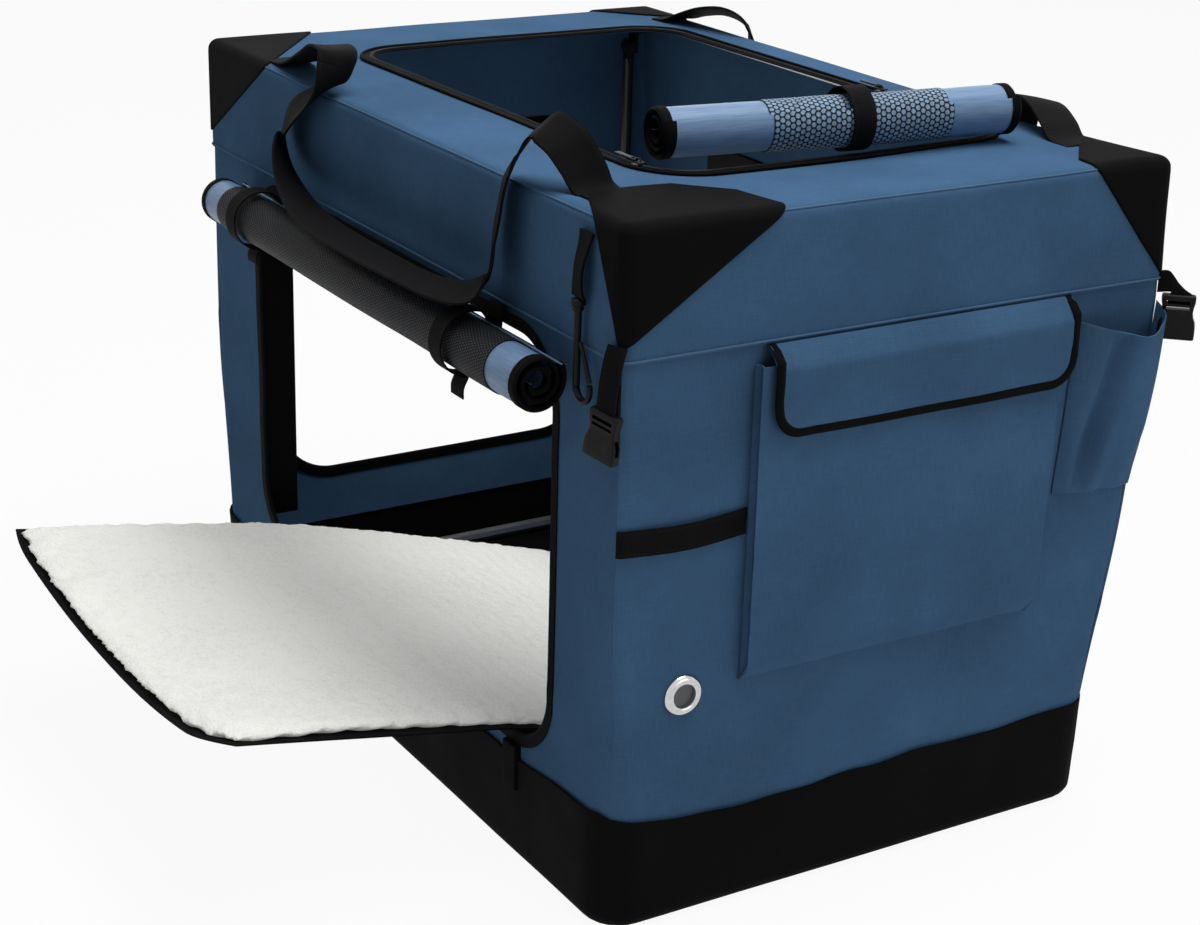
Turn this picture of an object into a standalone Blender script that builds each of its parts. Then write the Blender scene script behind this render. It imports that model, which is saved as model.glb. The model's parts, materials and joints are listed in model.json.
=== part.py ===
"""Soft folding dog crate: fabric cover, folding steel tube frame, rolled doors, pockets and pad.

Units are metres with +Z up. The origin is the centre of the base's underside. -Y is the short
wall with the pockets, -X is the long wall with the open doorway that the pad lies through.
"""

import math

import bmesh
import bpy
from mathutils import Matrix, Vector

MM = 0.001
X, Y, Z = Vector((1, 0, 0)), Vector((0, 1, 0)), Vector((0, 0, 1))

# Crate
CRATE_LENGTH = 800 * MM
CRATE_WIDTH = 520 * MM
CRATE_HEIGHT = 600 * MM
CORNER_RADIUS = 35 * MM
CLOTH = 3 * MM
SEAM_GAP = 0.3 * MM
WALL_SEAM = 0.6 * MM
BASE_HEIGHT = 100 * MM
BASE_EDGE = 15 * MM
BAND_HEIGHT = 105 * MM
TOP_EDGE = 20 * MM
OVERRUN = 20 * MM
HALF_X = CRATE_WIDTH / 2
HALF_Y = CRATE_LENGTH / 2
WALL_LOW = BASE_HEIGHT + SEAM_GAP
WALL_HIGH = CRATE_HEIGHT - BAND_HEIGHT - SEAM_GAP

# Frame
TUBE_RADIUS = 6 * MM
BASE_TUBE_RADIUS = 7 * MM
BASE_PIVOT_Z = 40 * MM
TOP_PIVOT_DROP = 34 * MM
PIVOT_INSET = 35 * MM
LOWER_POST_INSET = 26 * MM
UPPER_POST_INSET = 44 * MM
EYE_RADIUS = 8 * MM
EYE_WIDTH = 8 * MM
TANG_WIDTH = 11 * MM
TANG_LENGTH = 14 * MM
TANG_ROOT = 18 * MM
PIN_RADIUS = 3 * MM
PIN_CLEARANCE = 0.3 * MM
HEAD_RADIUS = 5 * MM
HEAD_WIDTH = 3 * MM
LUG_THICKNESS = 3 * MM
SADDLE_THICKNESS = 4 * MM
SADDLE_LENGTH = 30 * MM
SADDLE_WIDTH = 12 * MM
LUG_WIDTH = 16 * MM
TOP_PIVOT_Z = CRATE_HEIGHT - TOP_PIVOT_DROP
KNEE_Z = (BASE_PIVOT_Z + TOP_PIVOT_Z) / 2
PIVOT_Y = HALF_Y - PIVOT_INSET
LOWER_POST_X = HALF_X - LOWER_POST_INSET
UPPER_POST_X = HALF_X - UPPER_POST_INSET
BASE_RING_Z = CLOTH + SEAM_GAP + BASE_TUBE_RADIUS
TOP_RING_Z = CRATE_HEIGHT - CLOTH - SEAM_GAP - TUBE_RADIUS

# Openings: centre and size along the wall, low and high edges
DOOR_CENTRE_Y = -10 * MM
DOOR_WIDTH = 580 * MM
DOOR_LOW = 122 * MM
DOOR_HIGH = 478 * MM
DOOR_RADIUS = 55 * MM
REAR_DOOR_WIDTH = 380 * MM
REAR_DOOR_RADIUS = 60 * MM
WINDOW_WIDTH = 500 * MM
WINDOW_LOW = 190 * MM
WINDOW_HIGH = 465 * MM
WINDOW_RADIUS = 40 * MM
TOP_OPENING_CENTRE_X = 25 * MM
TOP_OPENING_WIDTH = 350 * MM
TOP_OPENING_LENGTH = 560 * MM
TOP_OPENING_RADIUS = 45 * MM
BINDING_WIDTH = 11 * MM
BINDING_THICKNESS = 2 * MM
BINDING_LIP = 1 * MM
NET_THICKNESS = 1 * MM
NET_OVERLAP = 12 * MM
EYELET_X = -191 * MM
EYELET_Z = 207 * MM
EYELET_HOLE_RADIUS = 11 * MM
EYELET_TUBE_RADIUS = 3.5 * MM
EYELET_FLATTENING = 0.6

# Rolls: a sheet wound into a spiral
DOOR_ROLL_RADIUS = 26 * MM
TOP_ROLL_RADIUS = 25 * MM
ROLL_CORE_RADIUS = 7 * MM
ROLL_TURNS = 2.5
ROLL_TURN_POINTS = 14
ROLL_SHEET_SHARE = 0.84
DOOR_ROLL_LENGTH = 626 * MM
DOOR_ROLL_CENTRE_Y = -22 * MM
REAR_ROLL_LENGTH = 420 * MM
TOP_ROLL_LENGTH = 330 * MM
ROLL_Z = 466 * MM
STRAP_THICKNESS = 1.5 * MM
ROLL_STRAP_WIDTH = 22 * MM
LEFT_STRAP_PLACES = (205 * MM, -215 * MM)
TOP_ROLL_CENTRE_Y = -285 * MM
TOP_STRAP_X = 38 * MM
STRAP_TAB_LENGTH = 10 * MM
STRAP_SIDES = 20
TAB_THICKNESS = 1.2 * MM

# Front wall storage
POCKET_LEFT = -135 * MM
POCKET_WIDTH = 300 * MM
POCKET_LOW = 208 * MM
POCKET_HIGH = 478 * MM
POCKET_DEPTH = 12 * MM
POCKET_CLOTH = 1.5 * MM
FLAP_LEFT = -128 * MM
FLAP_WIDTH = 306 * MM
FLAP_LOW = 420 * MM
FLAP_THICKNESS = 2.5 * MM
FLAP_CLEARANCE = 1 * MM
BOTTLE_CENTRE_X = 221 * MM
BOTTLE_WIDTH = 72 * MM
BOTTLE_DEPTH = 32 * MM
BOTTLE_SIDE = 4 * MM
BOTTLE_LOW = 312 * MM
BOTTLE_HIGH = 466 * MM
ELASTIC_WIDTH = 22 * MM
ELASTIC_Z = 346 * MM
ELASTIC_GAP = 6 * MM

# Corner patches: how far each reaches along X, Y and Z from its corner
PATCH_REACHES = {
    ("front", "left"): Vector((150, 85, 97)) * MM,
    ("front", "right"): Vector((66, 87, 102)) * MM,
    ("rear", "left"): Vector((115, 148, 94)) * MM,
    ("rear", "right"): Vector((80, 90, 100)) * MM,
}
PATCH_THICKNESS = 1.2 * MM

# Webbing handles: each strap as rows of (out from the wall, along Y, over the top, twist in degrees) in
# three runs: the front stub from its sewn end, the loop that swings, and the rear stub to its sewn end.
WEBBING_WIDTH = 38 * MM
WEBBING_THICKNESS = 2.5 * MM
HANDLE_GAP = 0.6 * MM
HANDLE_STEPS = 2
NEAR_HANDLE_RUNS = (
    [
        (-36, -322, 1.8, 0), (-35, -313, 3, 0), (-31, -303, 12, 2), (-25, -293, 28, 8), (-17, -279, 42, 15),
        (-9, -262, 46, 28),
    ],
    [
        (0, -247, 28, 46), (7, -243, 13, 55), (12, -240, -2, 60), (14, -236, -24, 62), (17, -233, -48, 62),
        (22, -236, -72, 58), (30, -232, -86, 40), (40, -205, -94, 15), (46, -150, -97, 0), (47, -60, -98, 0),
        (46, 10, -98, 0), (43, 55, -96, -5), (38, 95, -89, -18), (30, 135, -78, -35), (22, 165, -64, -52),
        (16, 178, -48, -62), (14, 168, -31, -62), (12, 140, -14, -50), (9, 114, -2, -32), (4, 98, 12, -18),
        (0, 96, 28, -10),
    ],
    [
        (-6, 105, 40, -6), (-13, 138, 39, -4), (-19, 175, 26, -2), (-24, 215, 11, 0), (-27, 245, 3, 0),
        (-28, 261, 1.8, 0),
    ],
)
FAR_HANDLE_RUNS = (
    [
        (-22, -318, 1.8, 0), (-21, -308, 3, 0), (-17, -290, 8, 0), (-11, -268, 13, 5), (-5, -247, 14, 15),
        (0, -232, 11, 30),
    ],
    [
        (4, -222, 6, 44), (9, -214, -8, 58), (12, -208, -28, 64), (13, -204, -50, 66), (13, -199, -75, 66),
        (12, -187, -100, 70), (10, -162, -118, 77), (9, -120, -126, 82), (8, -60, -128, 84), (8, 0, -128, 84),
        (8, 70, -127, 84), (9, 130, -122, 82), (10, 170, -107, 80), (10, 190, -85, 82), (10, 199, -60, 82),
        (10, 202, -35, 78), (9, 204, -14, 70), (4, 207, 6, 54),
    ],
    [
        (0, 213, 14, 42), (-5, 230, 19, 28), (-11, 256, 18, 14), (-17, 282, 11, 5), (-21, 302, 3, 0),
        (-22, 312, 1.8, 0),
    ],
)

# Zip sliders
SLIDER_LENGTH = 14 * MM
SLIDER_WIDTH = 8 * MM
SLIDER_HEIGHT = 5 * MM
PULL_LENGTH = 24 * MM
PULL_WIDTH = 5 * MM
PULL_THICKNESS = 1.5 * MM
LEFT_SLIDER_Y = -250 * MM
RIGHT_SLIDER_Y = -95 * MM

# Hook and buckles
NARROW_WEBBING = 20 * MM
HOOK_Y = -350 * MM
HOOK_STRAP_TOP = 575 * MM
HOOK_STRAP_LOW = 535 * MM
HOOK_WIRE_RADIUS = 2.5 * MM
HOOK_STEM = 26 * MM
HOOK_LENGTH = 36 * MM
HOOK_BEND_RADIUS = 10 * MM
SWIVEL_RADIUS = 6 * MM
SWIVEL_HEIGHT = 7 * MM
GATE_RADIUS = 1.5 * MM
GATE_CLEARANCE = 0.7 * MM
FITTING_STANDOFF = 8 * MM
BUCKLE_WIDTH = 32 * MM
BUCKLE_HEIGHT = 40 * MM
BUCKLE_DEPTH = 9 * MM
BUCKLE_WALL = 2.5 * MM
NEAR_STRAP_LENGTH = 46 * MM
RIGHT_STRAP_LENGTH = 15 * MM
RIGHT_STRAP_REACH = 32 * MM

# Fleece pad, its rise along X and droop across Y
PAD_LENGTH = 750 * MM
PAD_WIDTH = 505 * MM
PAD_THICKNESS = 11 * MM
PAD_CENTRE_Y = DOOR_CENTRE_Y
PAD_OUTER_X = -540 * MM
PAD_OUTER_Z = 185 * MM
PAD_SILL_Z = 135 * MM
PAD_DROOP = 26 * MM
PAD_LANDING_X = 165 * MM
PAD_INNER_Z = CLOTH + SEAM_GAP + PAD_THICKNESS / 2
PAD_EDGE_SHARE = 0.45
PAD_STATIONS = 20
PAD_ROWS = 10

ARC_STEPS = 4
WALL_ARC_STEPS = 3
ROUND_SIDES = 12
PIN_SIDES = 8
TUBE_BEVEL_STEPS = 2
SMOOTH_ANGLE = math.radians(35)
TOLERANCE = 1 * MM
WELD_DISTANCE = 0.01 * MM

PARTS = None
CUTTERS = None
MATERIALS = {}


def clear_scene() -> None:
    """Remove every object of the scene that the script starts in."""
    for obj in list(bpy.data.objects):
        bpy.data.objects.remove(obj, do_unlink=True)


def add_collection(name):
    """Return a new collection linked to the scene."""
    collection = bpy.data.collections.new(name)
    bpy.context.scene.collection.children.link(collection)
    return collection


def add_material(name, color, roughness, metallic=0.0) -> None:
    """Store a plain Principled material under its name."""
    material = bpy.data.materials.new(name)
    material.use_nodes = True
    shader = material.node_tree.nodes["Principled BSDF"]
    shader.inputs["Base Color"].default_value = (*color, 1)
    shader.inputs["Roughness"].default_value = roughness
    shader.inputs["Metallic"].default_value = metallic
    MATERIALS[name] = material


def add_object(name, mesh, material, collection=None):
    """Link a mesh as a named object with its material."""
    obj = bpy.data.objects.new(name, mesh)
    (collection or PARTS).objects.link(obj)
    if material:
        mesh.materials.clear()
        mesh.materials.append(MATERIALS[material])
    mesh.shade_smooth()
    mesh.set_sharp_from_angle(angle=SMOOTH_ANGLE)
    return obj


def mesh_from(name, build):
    """Return a mesh filled by a function that is given its bmesh."""
    bm = bmesh.new()
    build(bm)
    bmesh.ops.recalc_face_normals(bm, faces=bm.faces)
    mesh = bpy.data.meshes.new(name)
    bm.to_mesh(mesh)
    bm.free()
    return mesh


def as_cutter(obj):
    """Mark an object as a tool of a Boolean, which is not part of the model."""
    for owner in list(obj.users_collection):
        owner.objects.unlink(obj)
    CUTTERS.objects.link(obj)
    obj.hide_render = True
    obj.display_type = "WIRE"
    return obj


def boolean(obj, tool, operation) -> None:
    """Combine an object with a tool object."""
    modifier = obj.modifiers.new(operation.title(), "BOOLEAN")
    modifier.operation = operation
    modifier.object = as_cutter(tool)


def cut(obj, tool) -> None:
    """Cut a tool object's shape out of an object."""
    boolean(obj, tool, "DIFFERENCE")


def fuse(obj, *tools) -> None:
    """Join tool objects to an object as one solid."""
    for tool in tools:
        boolean(obj, tool, "UNION")


def solidify(obj, thickness, offset) -> None:
    """Give an open surface its thickness, outside for offset 1 and inside for -1."""
    modifier = obj.modifiers.new("Thickness", "SOLIDIFY")
    modifier.thickness = thickness
    modifier.offset = offset
    modifier.use_even_offset = True


def box(name, low, high, material):
    """Return a box between two corners."""
    low, high = Vector(low), Vector(high)

    def build(bm):
        bmesh.ops.create_cube(bm, size=1)
        bmesh.ops.scale(bm, vec=high - low, verts=bm.verts)
        bmesh.ops.translate(bm, vec=(low + high) / 2, verts=bm.verts)

    return add_object(name, mesh_from(name, build), material)


def cylinder(name, start, end, radius, material, sides=ROUND_SIDES):
    """Return a cylinder between two points."""
    start, end = Vector(start), Vector(end)
    turn = (end - start).to_track_quat("Z", "Y").to_matrix().to_4x4()

    def build(bm):
        bmesh.ops.create_cone(
            bm, cap_ends=True, segments=sides, radius1=radius, radius2=radius,
            depth=(end - start).length, matrix=Matrix.Translation((start + end) / 2) @ turn,
        )

    return add_object(name, mesh_from(name, build), material)


def to_mesh_object(obj, material):
    """Replace a curve object with the welded mesh that it evaluates to."""
    bpy.context.view_layer.update()
    depsgraph = bpy.context.evaluated_depsgraph_get()
    mesh = bpy.data.meshes.new_from_object(obj.evaluated_get(depsgraph))
    bm = bmesh.new()
    bm.from_mesh(mesh)
    bmesh.ops.remove_doubles(bm, verts=bm.verts, dist=WELD_DISTANCE)
    bmesh.ops.recalc_face_normals(bm, faces=bm.faces)
    bm.to_mesh(mesh)
    bm.free()
    name, matrix = obj.name, obj.matrix_world.copy()
    bpy.data.objects.remove(obj)
    result = add_object(name, mesh, material)
    result.name = name
    result.matrix_world = matrix
    return result


def add_curve(name, points, closed, flat):
    """Return a poly curve object through the points."""
    curve = bpy.data.curves.new(name, "CURVE")
    curve.dimensions = "2D" if flat else "3D"
    spline = curve.splines.new("POLY")
    spline.points.add(len(points) - 1)
    for target, point in zip(spline.points, points):
        target.co = (*point, 0, 1) if flat else (*point, 1)
    spline.use_cyclic_u = closed
    obj = bpy.data.objects.new(name, curve)
    PARTS.objects.link(obj)
    return obj


def tube(name, points, radius, material, closed=False):
    """Return a round tube along points."""
    obj = add_curve(name, points, closed, flat=False)
    obj.data.bevel_depth = radius
    obj.data.bevel_resolution = TUBE_BEVEL_STEPS
    obj.data.use_fill_caps = not closed
    return to_mesh_object(obj, material)


def plate(name, outline, thickness, frame, material):
    """Return a flat plate with an outline in a frame's XY plane, centred on that plane."""
    obj = add_curve(name, outline, closed=True, flat=True)
    obj.data.fill_mode = "BOTH"
    obj.data.extrude = thickness / 2
    obj.matrix_world = frame
    return to_mesh_object(obj, material)


def upright_ribbon(name, outline, low, high, material):
    """Return an open sheet that stands on a plan outline between two heights."""
    obj = add_curve(name, outline, closed=False, flat=True)
    obj.data.fill_mode = "NONE"
    obj.data.extrude = (high - low) / 2
    obj.matrix_world = Matrix.Translation(((low + high) / 2) * Z)
    return to_mesh_object(obj, material)


def arc(centre, radius, start, end, steps=ARC_STEPS):
    """Return points of an arc between two angles in degrees."""
    angles = (math.radians(start + (end - start) * i / steps) for i in range(steps + 1))
    return [(centre[0] + radius * math.cos(a), centre[1] + radius * math.sin(a)) for a in angles]


def rounded_rectangle(half_x, half_y, radius, centre=(0, 0), steps=ARC_STEPS):
    """Return the outline of a rectangle with round corners, anticlockwise."""
    points = []
    for quarter, (sx, sy) in enumerate(((1, 1), (-1, 1), (-1, -1), (1, -1))):
        middle = (centre[0] + sx * (half_x - radius), centre[1] + sy * (half_y - radius))
        points += arc(middle, radius, 90 * quarter, 90 * quarter + 90, steps)
    return points


def wall_frame(axis, place):
    """Return a frame whose X runs along a wall, Y goes up and Z points out of the wall."""
    outward = Vector(axis)
    along = Z.cross(outward)
    return Matrix((along, Z, outward)).transposed().to_4x4() @ Matrix.Translation((0, 0, place))


def tray(name, inset, low, high, edge, open_side, material):
    """Return an open box with round corners, as a surface that is open above or below."""
    outline = rounded_rectangle(HALF_X - inset, HALF_Y - inset, CORNER_RADIUS - inset)

    def build(bm):
        base = bm.faces.new([bm.verts.new((x, y, low)) for x, y in outline])
        lifted = bmesh.ops.extrude_face_region(bm, geom=[base])["geom"]
        verts = [v for v in lifted if isinstance(v, bmesh.types.BMVert)]
        bmesh.ops.translate(bm, vec=(high - low) * Z, verts=verts)
        bmesh.ops.recalc_face_normals(bm, faces=bm.faces)
        closed_z, open_z = (low, high) if open_side > 0 else (high, low)
        edges = [e for e in bm.edges if all(abs(v.co.z - closed_z) < TOLERANCE for v in e.verts)]
        lid = [f for f in bm.faces if all(abs(v.co.z - open_z) < TOLERANCE for v in f.verts)]
        bmesh.ops.delete(bm, geom=lid, context="FACES_ONLY")
        bmesh.ops.bevel(
            bm, geom=edges, offset=edge, segments=3, profile=0.5, affect="EDGES", clamp_overlap=False
        )

    return add_object(name, mesh_from(name, build), material)


def opening_tool(name, axis, outline):
    """Return the cutter of an opening through the wall that faces along an axis."""
    half = HALF_X if abs(axis[0]) else HALF_Y
    return plate(name, outline, 2 * OVERRUN, wall_frame(axis, half), None)


def flat_ring(name, outer, inner, thickness, frame, material):
    """Return a flat ring between two outlines of equal length, centred on a frame's XY plane."""
    def build(bm):
        lines = [[bm.verts.new((x, y, 0)) for x, y in outline] for outline in (outer, inner)]
        for i in range(len(outer)):
            bm.faces.new((lines[0][i - 1], lines[0][i], lines[1][i], lines[1][i - 1]))

    result = add_object(name, mesh_from(name, build), material)
    result.matrix_world = frame
    solidify(result, thickness, 0)
    return result


def binding(name, frame, half_x, half_y, radius, centre):
    """Return the flat tape around an opening, lying just off a wall's outer face."""
    lift = SEAM_GAP + BINDING_THICKNESS / 2
    outer = rounded_rectangle(half_x + BINDING_WIDTH, half_y + BINDING_WIDTH, radius + BINDING_WIDTH, centre)
    inner = rounded_rectangle(half_x - BINDING_LIP, half_y - BINDING_LIP, radius - BINDING_LIP, centre)
    place = frame @ Matrix.Translation((0, 0, lift))
    return flat_ring(name, outer, inner, BINDING_THICKNESS, place, "black_tape")


def make_covers() -> None:
    """Make the black base tray and the blue top with its band."""
    base = tray("base_cover", 0, 0, BASE_HEIGHT, BASE_EDGE, 1, "black_cloth")
    solidify(base, CLOTH, -1)
    top = tray("top_cover", 0, CRATE_HEIGHT - BAND_HEIGHT, CRATE_HEIGHT, TOP_EDGE, -1, "blue_cloth")
    solidify(top, CLOTH, -1)
    outline = rounded_rectangle(
        TOP_OPENING_WIDTH / 2, TOP_OPENING_LENGTH / 2, TOP_OPENING_RADIUS, (TOP_OPENING_CENTRE_X, 0)
    )
    cut(top, plate("top_hole", outline, 2 * OVERRUN, Matrix.Translation(CRATE_HEIGHT * Z), None))


def wall_outline(side):
    """Return one wall's plan line, from corner seam to corner seam, for its quarter turn."""
    along, across = (HALF_X, HALF_Y) if side % 2 == 0 else (HALF_Y, HALF_X)
    middle_x, middle_y = along - CORNER_RADIUS, across - CORNER_RADIUS
    seam = math.degrees(WALL_SEAM / CORNER_RADIUS)
    left = arc((-middle_x, -middle_y), CORNER_RADIUS, 225 + seam, 270, WALL_ARC_STEPS)
    right = arc((middle_x, -middle_y), CORNER_RADIUS, 270, 315 - seam, WALL_ARC_STEPS)
    turn = Matrix.Rotation(math.radians(90 * side), 2)
    return [tuple(turn @ Vector(p)) for p in left + right]


def make_walls() -> None:
    """Make the four walls with their openings."""
    names = ("front_wall", "right_wall", "rear_wall", "left_wall")
    walls = {}
    for side, name in enumerate(names):
        wall = upright_ribbon(name, wall_outline(side), WALL_LOW, WALL_HIGH, "blue_cloth")
        solidify(wall, CLOTH, -1)
        walls[name] = wall
    door_mid = (DOOR_LOW + DOOR_HIGH) / 2
    door_half = (DOOR_HIGH - DOOR_LOW) / 2
    window_mid = (WINDOW_LOW + WINDOW_HIGH) / 2
    window_half = (WINDOW_HIGH - WINDOW_LOW) / 2
    openings = (
        ("left_wall", "left_door_binding", (-1, 0, 0), HALF_X, DOOR_WIDTH / 2, door_half, DOOR_RADIUS,
         (-DOOR_CENTRE_Y, door_mid)),
        ("rear_wall", "rear_door_binding", (0, 1, 0), HALF_Y, REAR_DOOR_WIDTH / 2, door_half,
         REAR_DOOR_RADIUS, (0, door_mid)),
        ("right_wall", "window_binding", (1, 0, 0), HALF_X, WINDOW_WIDTH / 2, window_half,
         WINDOW_RADIUS, (0, window_mid)),
    )
    for wall, name, axis, place, half_along, half_up, radius, centre in openings:
        outline = rounded_rectangle(half_along, half_up, radius, centre)
        cut(walls[wall], opening_tool(name + "_opening", axis, outline))
        binding(name, wall_frame(axis, place), half_along, half_up, radius, centre)
    net_outline = rounded_rectangle(
        WINDOW_WIDTH / 2 + NET_OVERLAP, window_half + NET_OVERLAP, WINDOW_RADIUS + NET_OVERLAP, (0, window_mid)
    )
    net_place = HALF_X - CLOTH - SEAM_GAP - NET_THICKNESS / 2
    plate("window_mesh", net_outline, NET_THICKNESS, wall_frame(X, net_place), "black_net")
    eye = Vector((EYELET_X, -HALF_Y, EYELET_Z))
    hole = cylinder("eyelet_hole", eye - OVERRUN * Y, eye + OVERRUN * Y, EYELET_HOLE_RADIUS, None)
    cut(walls["front_wall"], hole)
    make_eyelet(eye)


def make_eyelet(centre) -> None:
    """Make the chromed ring around the hole in the front wall."""
    thickness = EYELET_TUBE_RADIUS * EYELET_FLATTENING
    bpy.ops.mesh.primitive_torus_add(
        major_radius=EYELET_HOLE_RADIUS + EYELET_TUBE_RADIUS, minor_radius=EYELET_TUBE_RADIUS,
        major_segments=2 * ROUND_SIDES, minor_segments=8,
    )
    made = bpy.context.object
    mesh = made.data
    bpy.data.objects.remove(made)
    place = Matrix.Translation(centre - (thickness + SEAM_GAP) * Y) @ Matrix.Rotation(math.pi / 2, 4, "X")
    mesh.transform(place @ Matrix.Diagonal((1, 1, EYELET_FLATTENING, 1)))
    add_object("eyelet", mesh, "chrome")


def make_top_binding() -> None:
    """Make the tape and zip track around the top opening."""
    binding(
        "top_binding", Matrix.Translation(CRATE_HEIGHT * Z), TOP_OPENING_WIDTH / 2, TOP_OPENING_LENGTH / 2,
        TOP_OPENING_RADIUS, (TOP_OPENING_CENTRE_X, 0),
    )


def ring(name, inset, height, radius, corner, material) -> None:
    """Make a closed tube ring around the crate."""
    outline = rounded_rectangle(HALF_X - inset, HALF_Y - inset, corner)
    tube(name, [(x, y, height) for x, y in outline], radius, material, closed=True)


def along_x(name, sign_x, start, end, y, z, radius, sides=PIN_SIDES):
    """Return a tool cylinder along X between two distances from the middle."""
    return cylinder(name, (sign_x * start, y, z), (sign_x * end, y, z), radius, None, sides)


def side_box(name, sign_x, x_range, y_mid, y_half, z_range, material):
    """Return a box at one side of the crate."""
    xs = sorted(sign_x * x for x in x_range)
    return box(name, (xs[0], y_mid - y_half, z_range[0]), (xs[1], y_mid + y_half, z_range[1]), material)


def bracket(name, sign_x, sign_y, post_x, pivot_z, saddle_z) -> None:
    """Make a bracket: a saddle on the ring tube, a lug beside the post's eye and its pin."""
    y = sign_y * PIVOT_Y
    eye_out = post_x + EYE_WIDTH / 2 + SEAM_GAP
    eye_in = post_x - EYE_WIDTH / 2 - SEAM_GAP
    saddle_far = saddle_z + math.copysign(SADDLE_THICKNESS, pivot_z - saddle_z)
    ring_x = HALF_X - (BASE_EDGE if pivot_z < KNEE_Z else TOP_EDGE)
    saddle = side_box(
        name, sign_x, (eye_out, ring_x + SADDLE_WIDTH / 4), y, SADDLE_LENGTH / 2,
        sorted((saddle_z, saddle_far)), "black_steel",
    )
    lug_end = pivot_z + math.copysign(EYE_RADIUS, pivot_z - saddle_z)
    lug = side_box(
        name + "_lug", sign_x, (eye_out, eye_out + LUG_THICKNESS), y, LUG_WIDTH / 2,
        sorted((saddle_z, lug_end)), None,
    )
    pin_ends = eye_out + LUG_THICKNESS / 2, eye_in - HEAD_WIDTH / 2
    pin = along_x(name + "_pin", sign_x, *pin_ends, y, pivot_z, PIN_RADIUS)
    head = along_x(name + "_head", sign_x, eye_in, eye_in - HEAD_WIDTH, y, pivot_z, HEAD_RADIUS)
    fuse(saddle, lug, pin, head)


def post(name, sign_x, sign_y, post_x, low, high):
    """Return a post tube with a flat tang and a round eye at each end."""
    y = sign_y * PIVOT_Y
    ends = (sign_x * post_x, y, low + TANG_LENGTH), (sign_x * post_x, y, high - TANG_LENGTH)
    shaft = cylinder(name, *ends, TUBE_RADIUS, "black_steel")
    inner, outer = post_x - EYE_WIDTH / 2, post_x + EYE_WIDTH / 2
    for tag, pivot, root in (("_low", low, low + TANG_ROOT), ("_high", high, high - TANG_ROOT)):
        fuse(
            shaft,
            side_box(name + tag + "_tang", sign_x, (inner, outer), y, TANG_WIDTH / 2, sorted((pivot, root)), None),
            along_x(name + tag + "_eye", sign_x, inner, outer, y, pivot, EYE_RADIUS, ROUND_SIDES),
        )
    return shaft


def bore(shaft, name, sign_x, sign_y, post_x, height) -> None:
    """Drill a pin hole through a post's eye."""
    ends = post_x - EYE_WIDTH, post_x + EYE_WIDTH
    cut(shaft, along_x(name, sign_x, *ends, sign_y * PIVOT_Y, height, PIN_RADIUS + PIN_CLEARANCE))


def make_frame() -> None:
    """Make the tube rings, their brackets and the knee-jointed corner posts."""
    ring("base_ring", BASE_EDGE, BASE_RING_Z, BASE_TUBE_RADIUS, CORNER_RADIUS - BASE_EDGE, "steel")
    ring("top_ring", TOP_EDGE, TOP_RING_Z, TUBE_RADIUS, CORNER_RADIUS - TOP_EDGE, "steel")
    base_saddle = BASE_RING_Z + BASE_TUBE_RADIUS + SEAM_GAP
    top_saddle = TOP_RING_Z - TUBE_RADIUS - SEAM_GAP
    for end, sign_y in (("front", -1), ("rear", 1)):
        for side, sign_x in (("left", -1), ("right", 1)):
            tag = f"{end}_{side}"
            bracket(f"base_bracket_{tag}", sign_x, sign_y, LOWER_POST_X, BASE_PIVOT_Z, base_saddle)
            bracket(f"top_bracket_{tag}", sign_x, sign_y, UPPER_POST_X, TOP_PIVOT_Z, top_saddle)
            lower = post(f"lower_post_{tag}", sign_x, sign_y, LOWER_POST_X, BASE_PIVOT_Z, KNEE_Z)
            bore(lower, f"lower_bore_{tag}", sign_x, sign_y, LOWER_POST_X, BASE_PIVOT_Z)
            bore(lower, f"knee_bore_{tag}", sign_x, sign_y, LOWER_POST_X, KNEE_Z)
            upper = post(f"upper_post_{tag}", sign_x, sign_y, UPPER_POST_X, KNEE_Z, TOP_PIVOT_Z)
            bore(upper, f"upper_bore_{tag}", sign_x, sign_y, UPPER_POST_X, TOP_PIVOT_Z)
            make_knee(upper, tag, sign_x, sign_y)


def make_knee(upper, tag, sign_x, sign_y) -> None:
    """Fuse the knee's spacer, pin and head to the upper post."""
    y = sign_y * PIVOT_Y
    eye_in = LOWER_POST_X - EYE_WIDTH / 2 - SEAM_GAP
    eye_out = LOWER_POST_X + EYE_WIDTH / 2 + SEAM_GAP
    fuse(
        upper,
        along_x(f"knee_spacer_{tag}", sign_x, UPPER_POST_X, eye_in, y, KNEE_Z, HEAD_RADIUS),
        along_x(f"knee_pin_{tag}", sign_x, UPPER_POST_X, eye_out + HEAD_WIDTH / 2, y, KNEE_Z, PIN_RADIUS),
        along_x(f"knee_head_{tag}", sign_x, eye_out, eye_out + HEAD_WIDTH, y, KNEE_Z, HEAD_RADIUS),
    )


def spiral_outline(outer, core, turns, sheet):
    """Return the outline of a sheet wound from its outer end to its core."""
    count = int(turns * ROLL_TURN_POINTS)
    pitch = (outer - core) / turns

    def line(offset):
        points = []
        for i in range(count + 1):
            turn = turns * i / count
            radius = outer - offset - pitch * turn
            angle = math.tau * turn
            points.append((radius * math.cos(angle), radius * math.sin(angle)))
        return points

    return line(0) + line(sheet)[::-1]


def wound_roll(name, radius, length, frame, material) -> None:
    """Make a rolled panel along a frame's Z axis."""
    pitch = (radius - ROLL_CORE_RADIUS) / ROLL_TURNS
    outline = spiral_outline(radius, ROLL_CORE_RADIUS, ROLL_TURNS, pitch * ROLL_SHEET_SHARE)
    plate(name, outline, length, frame, material)


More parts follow.
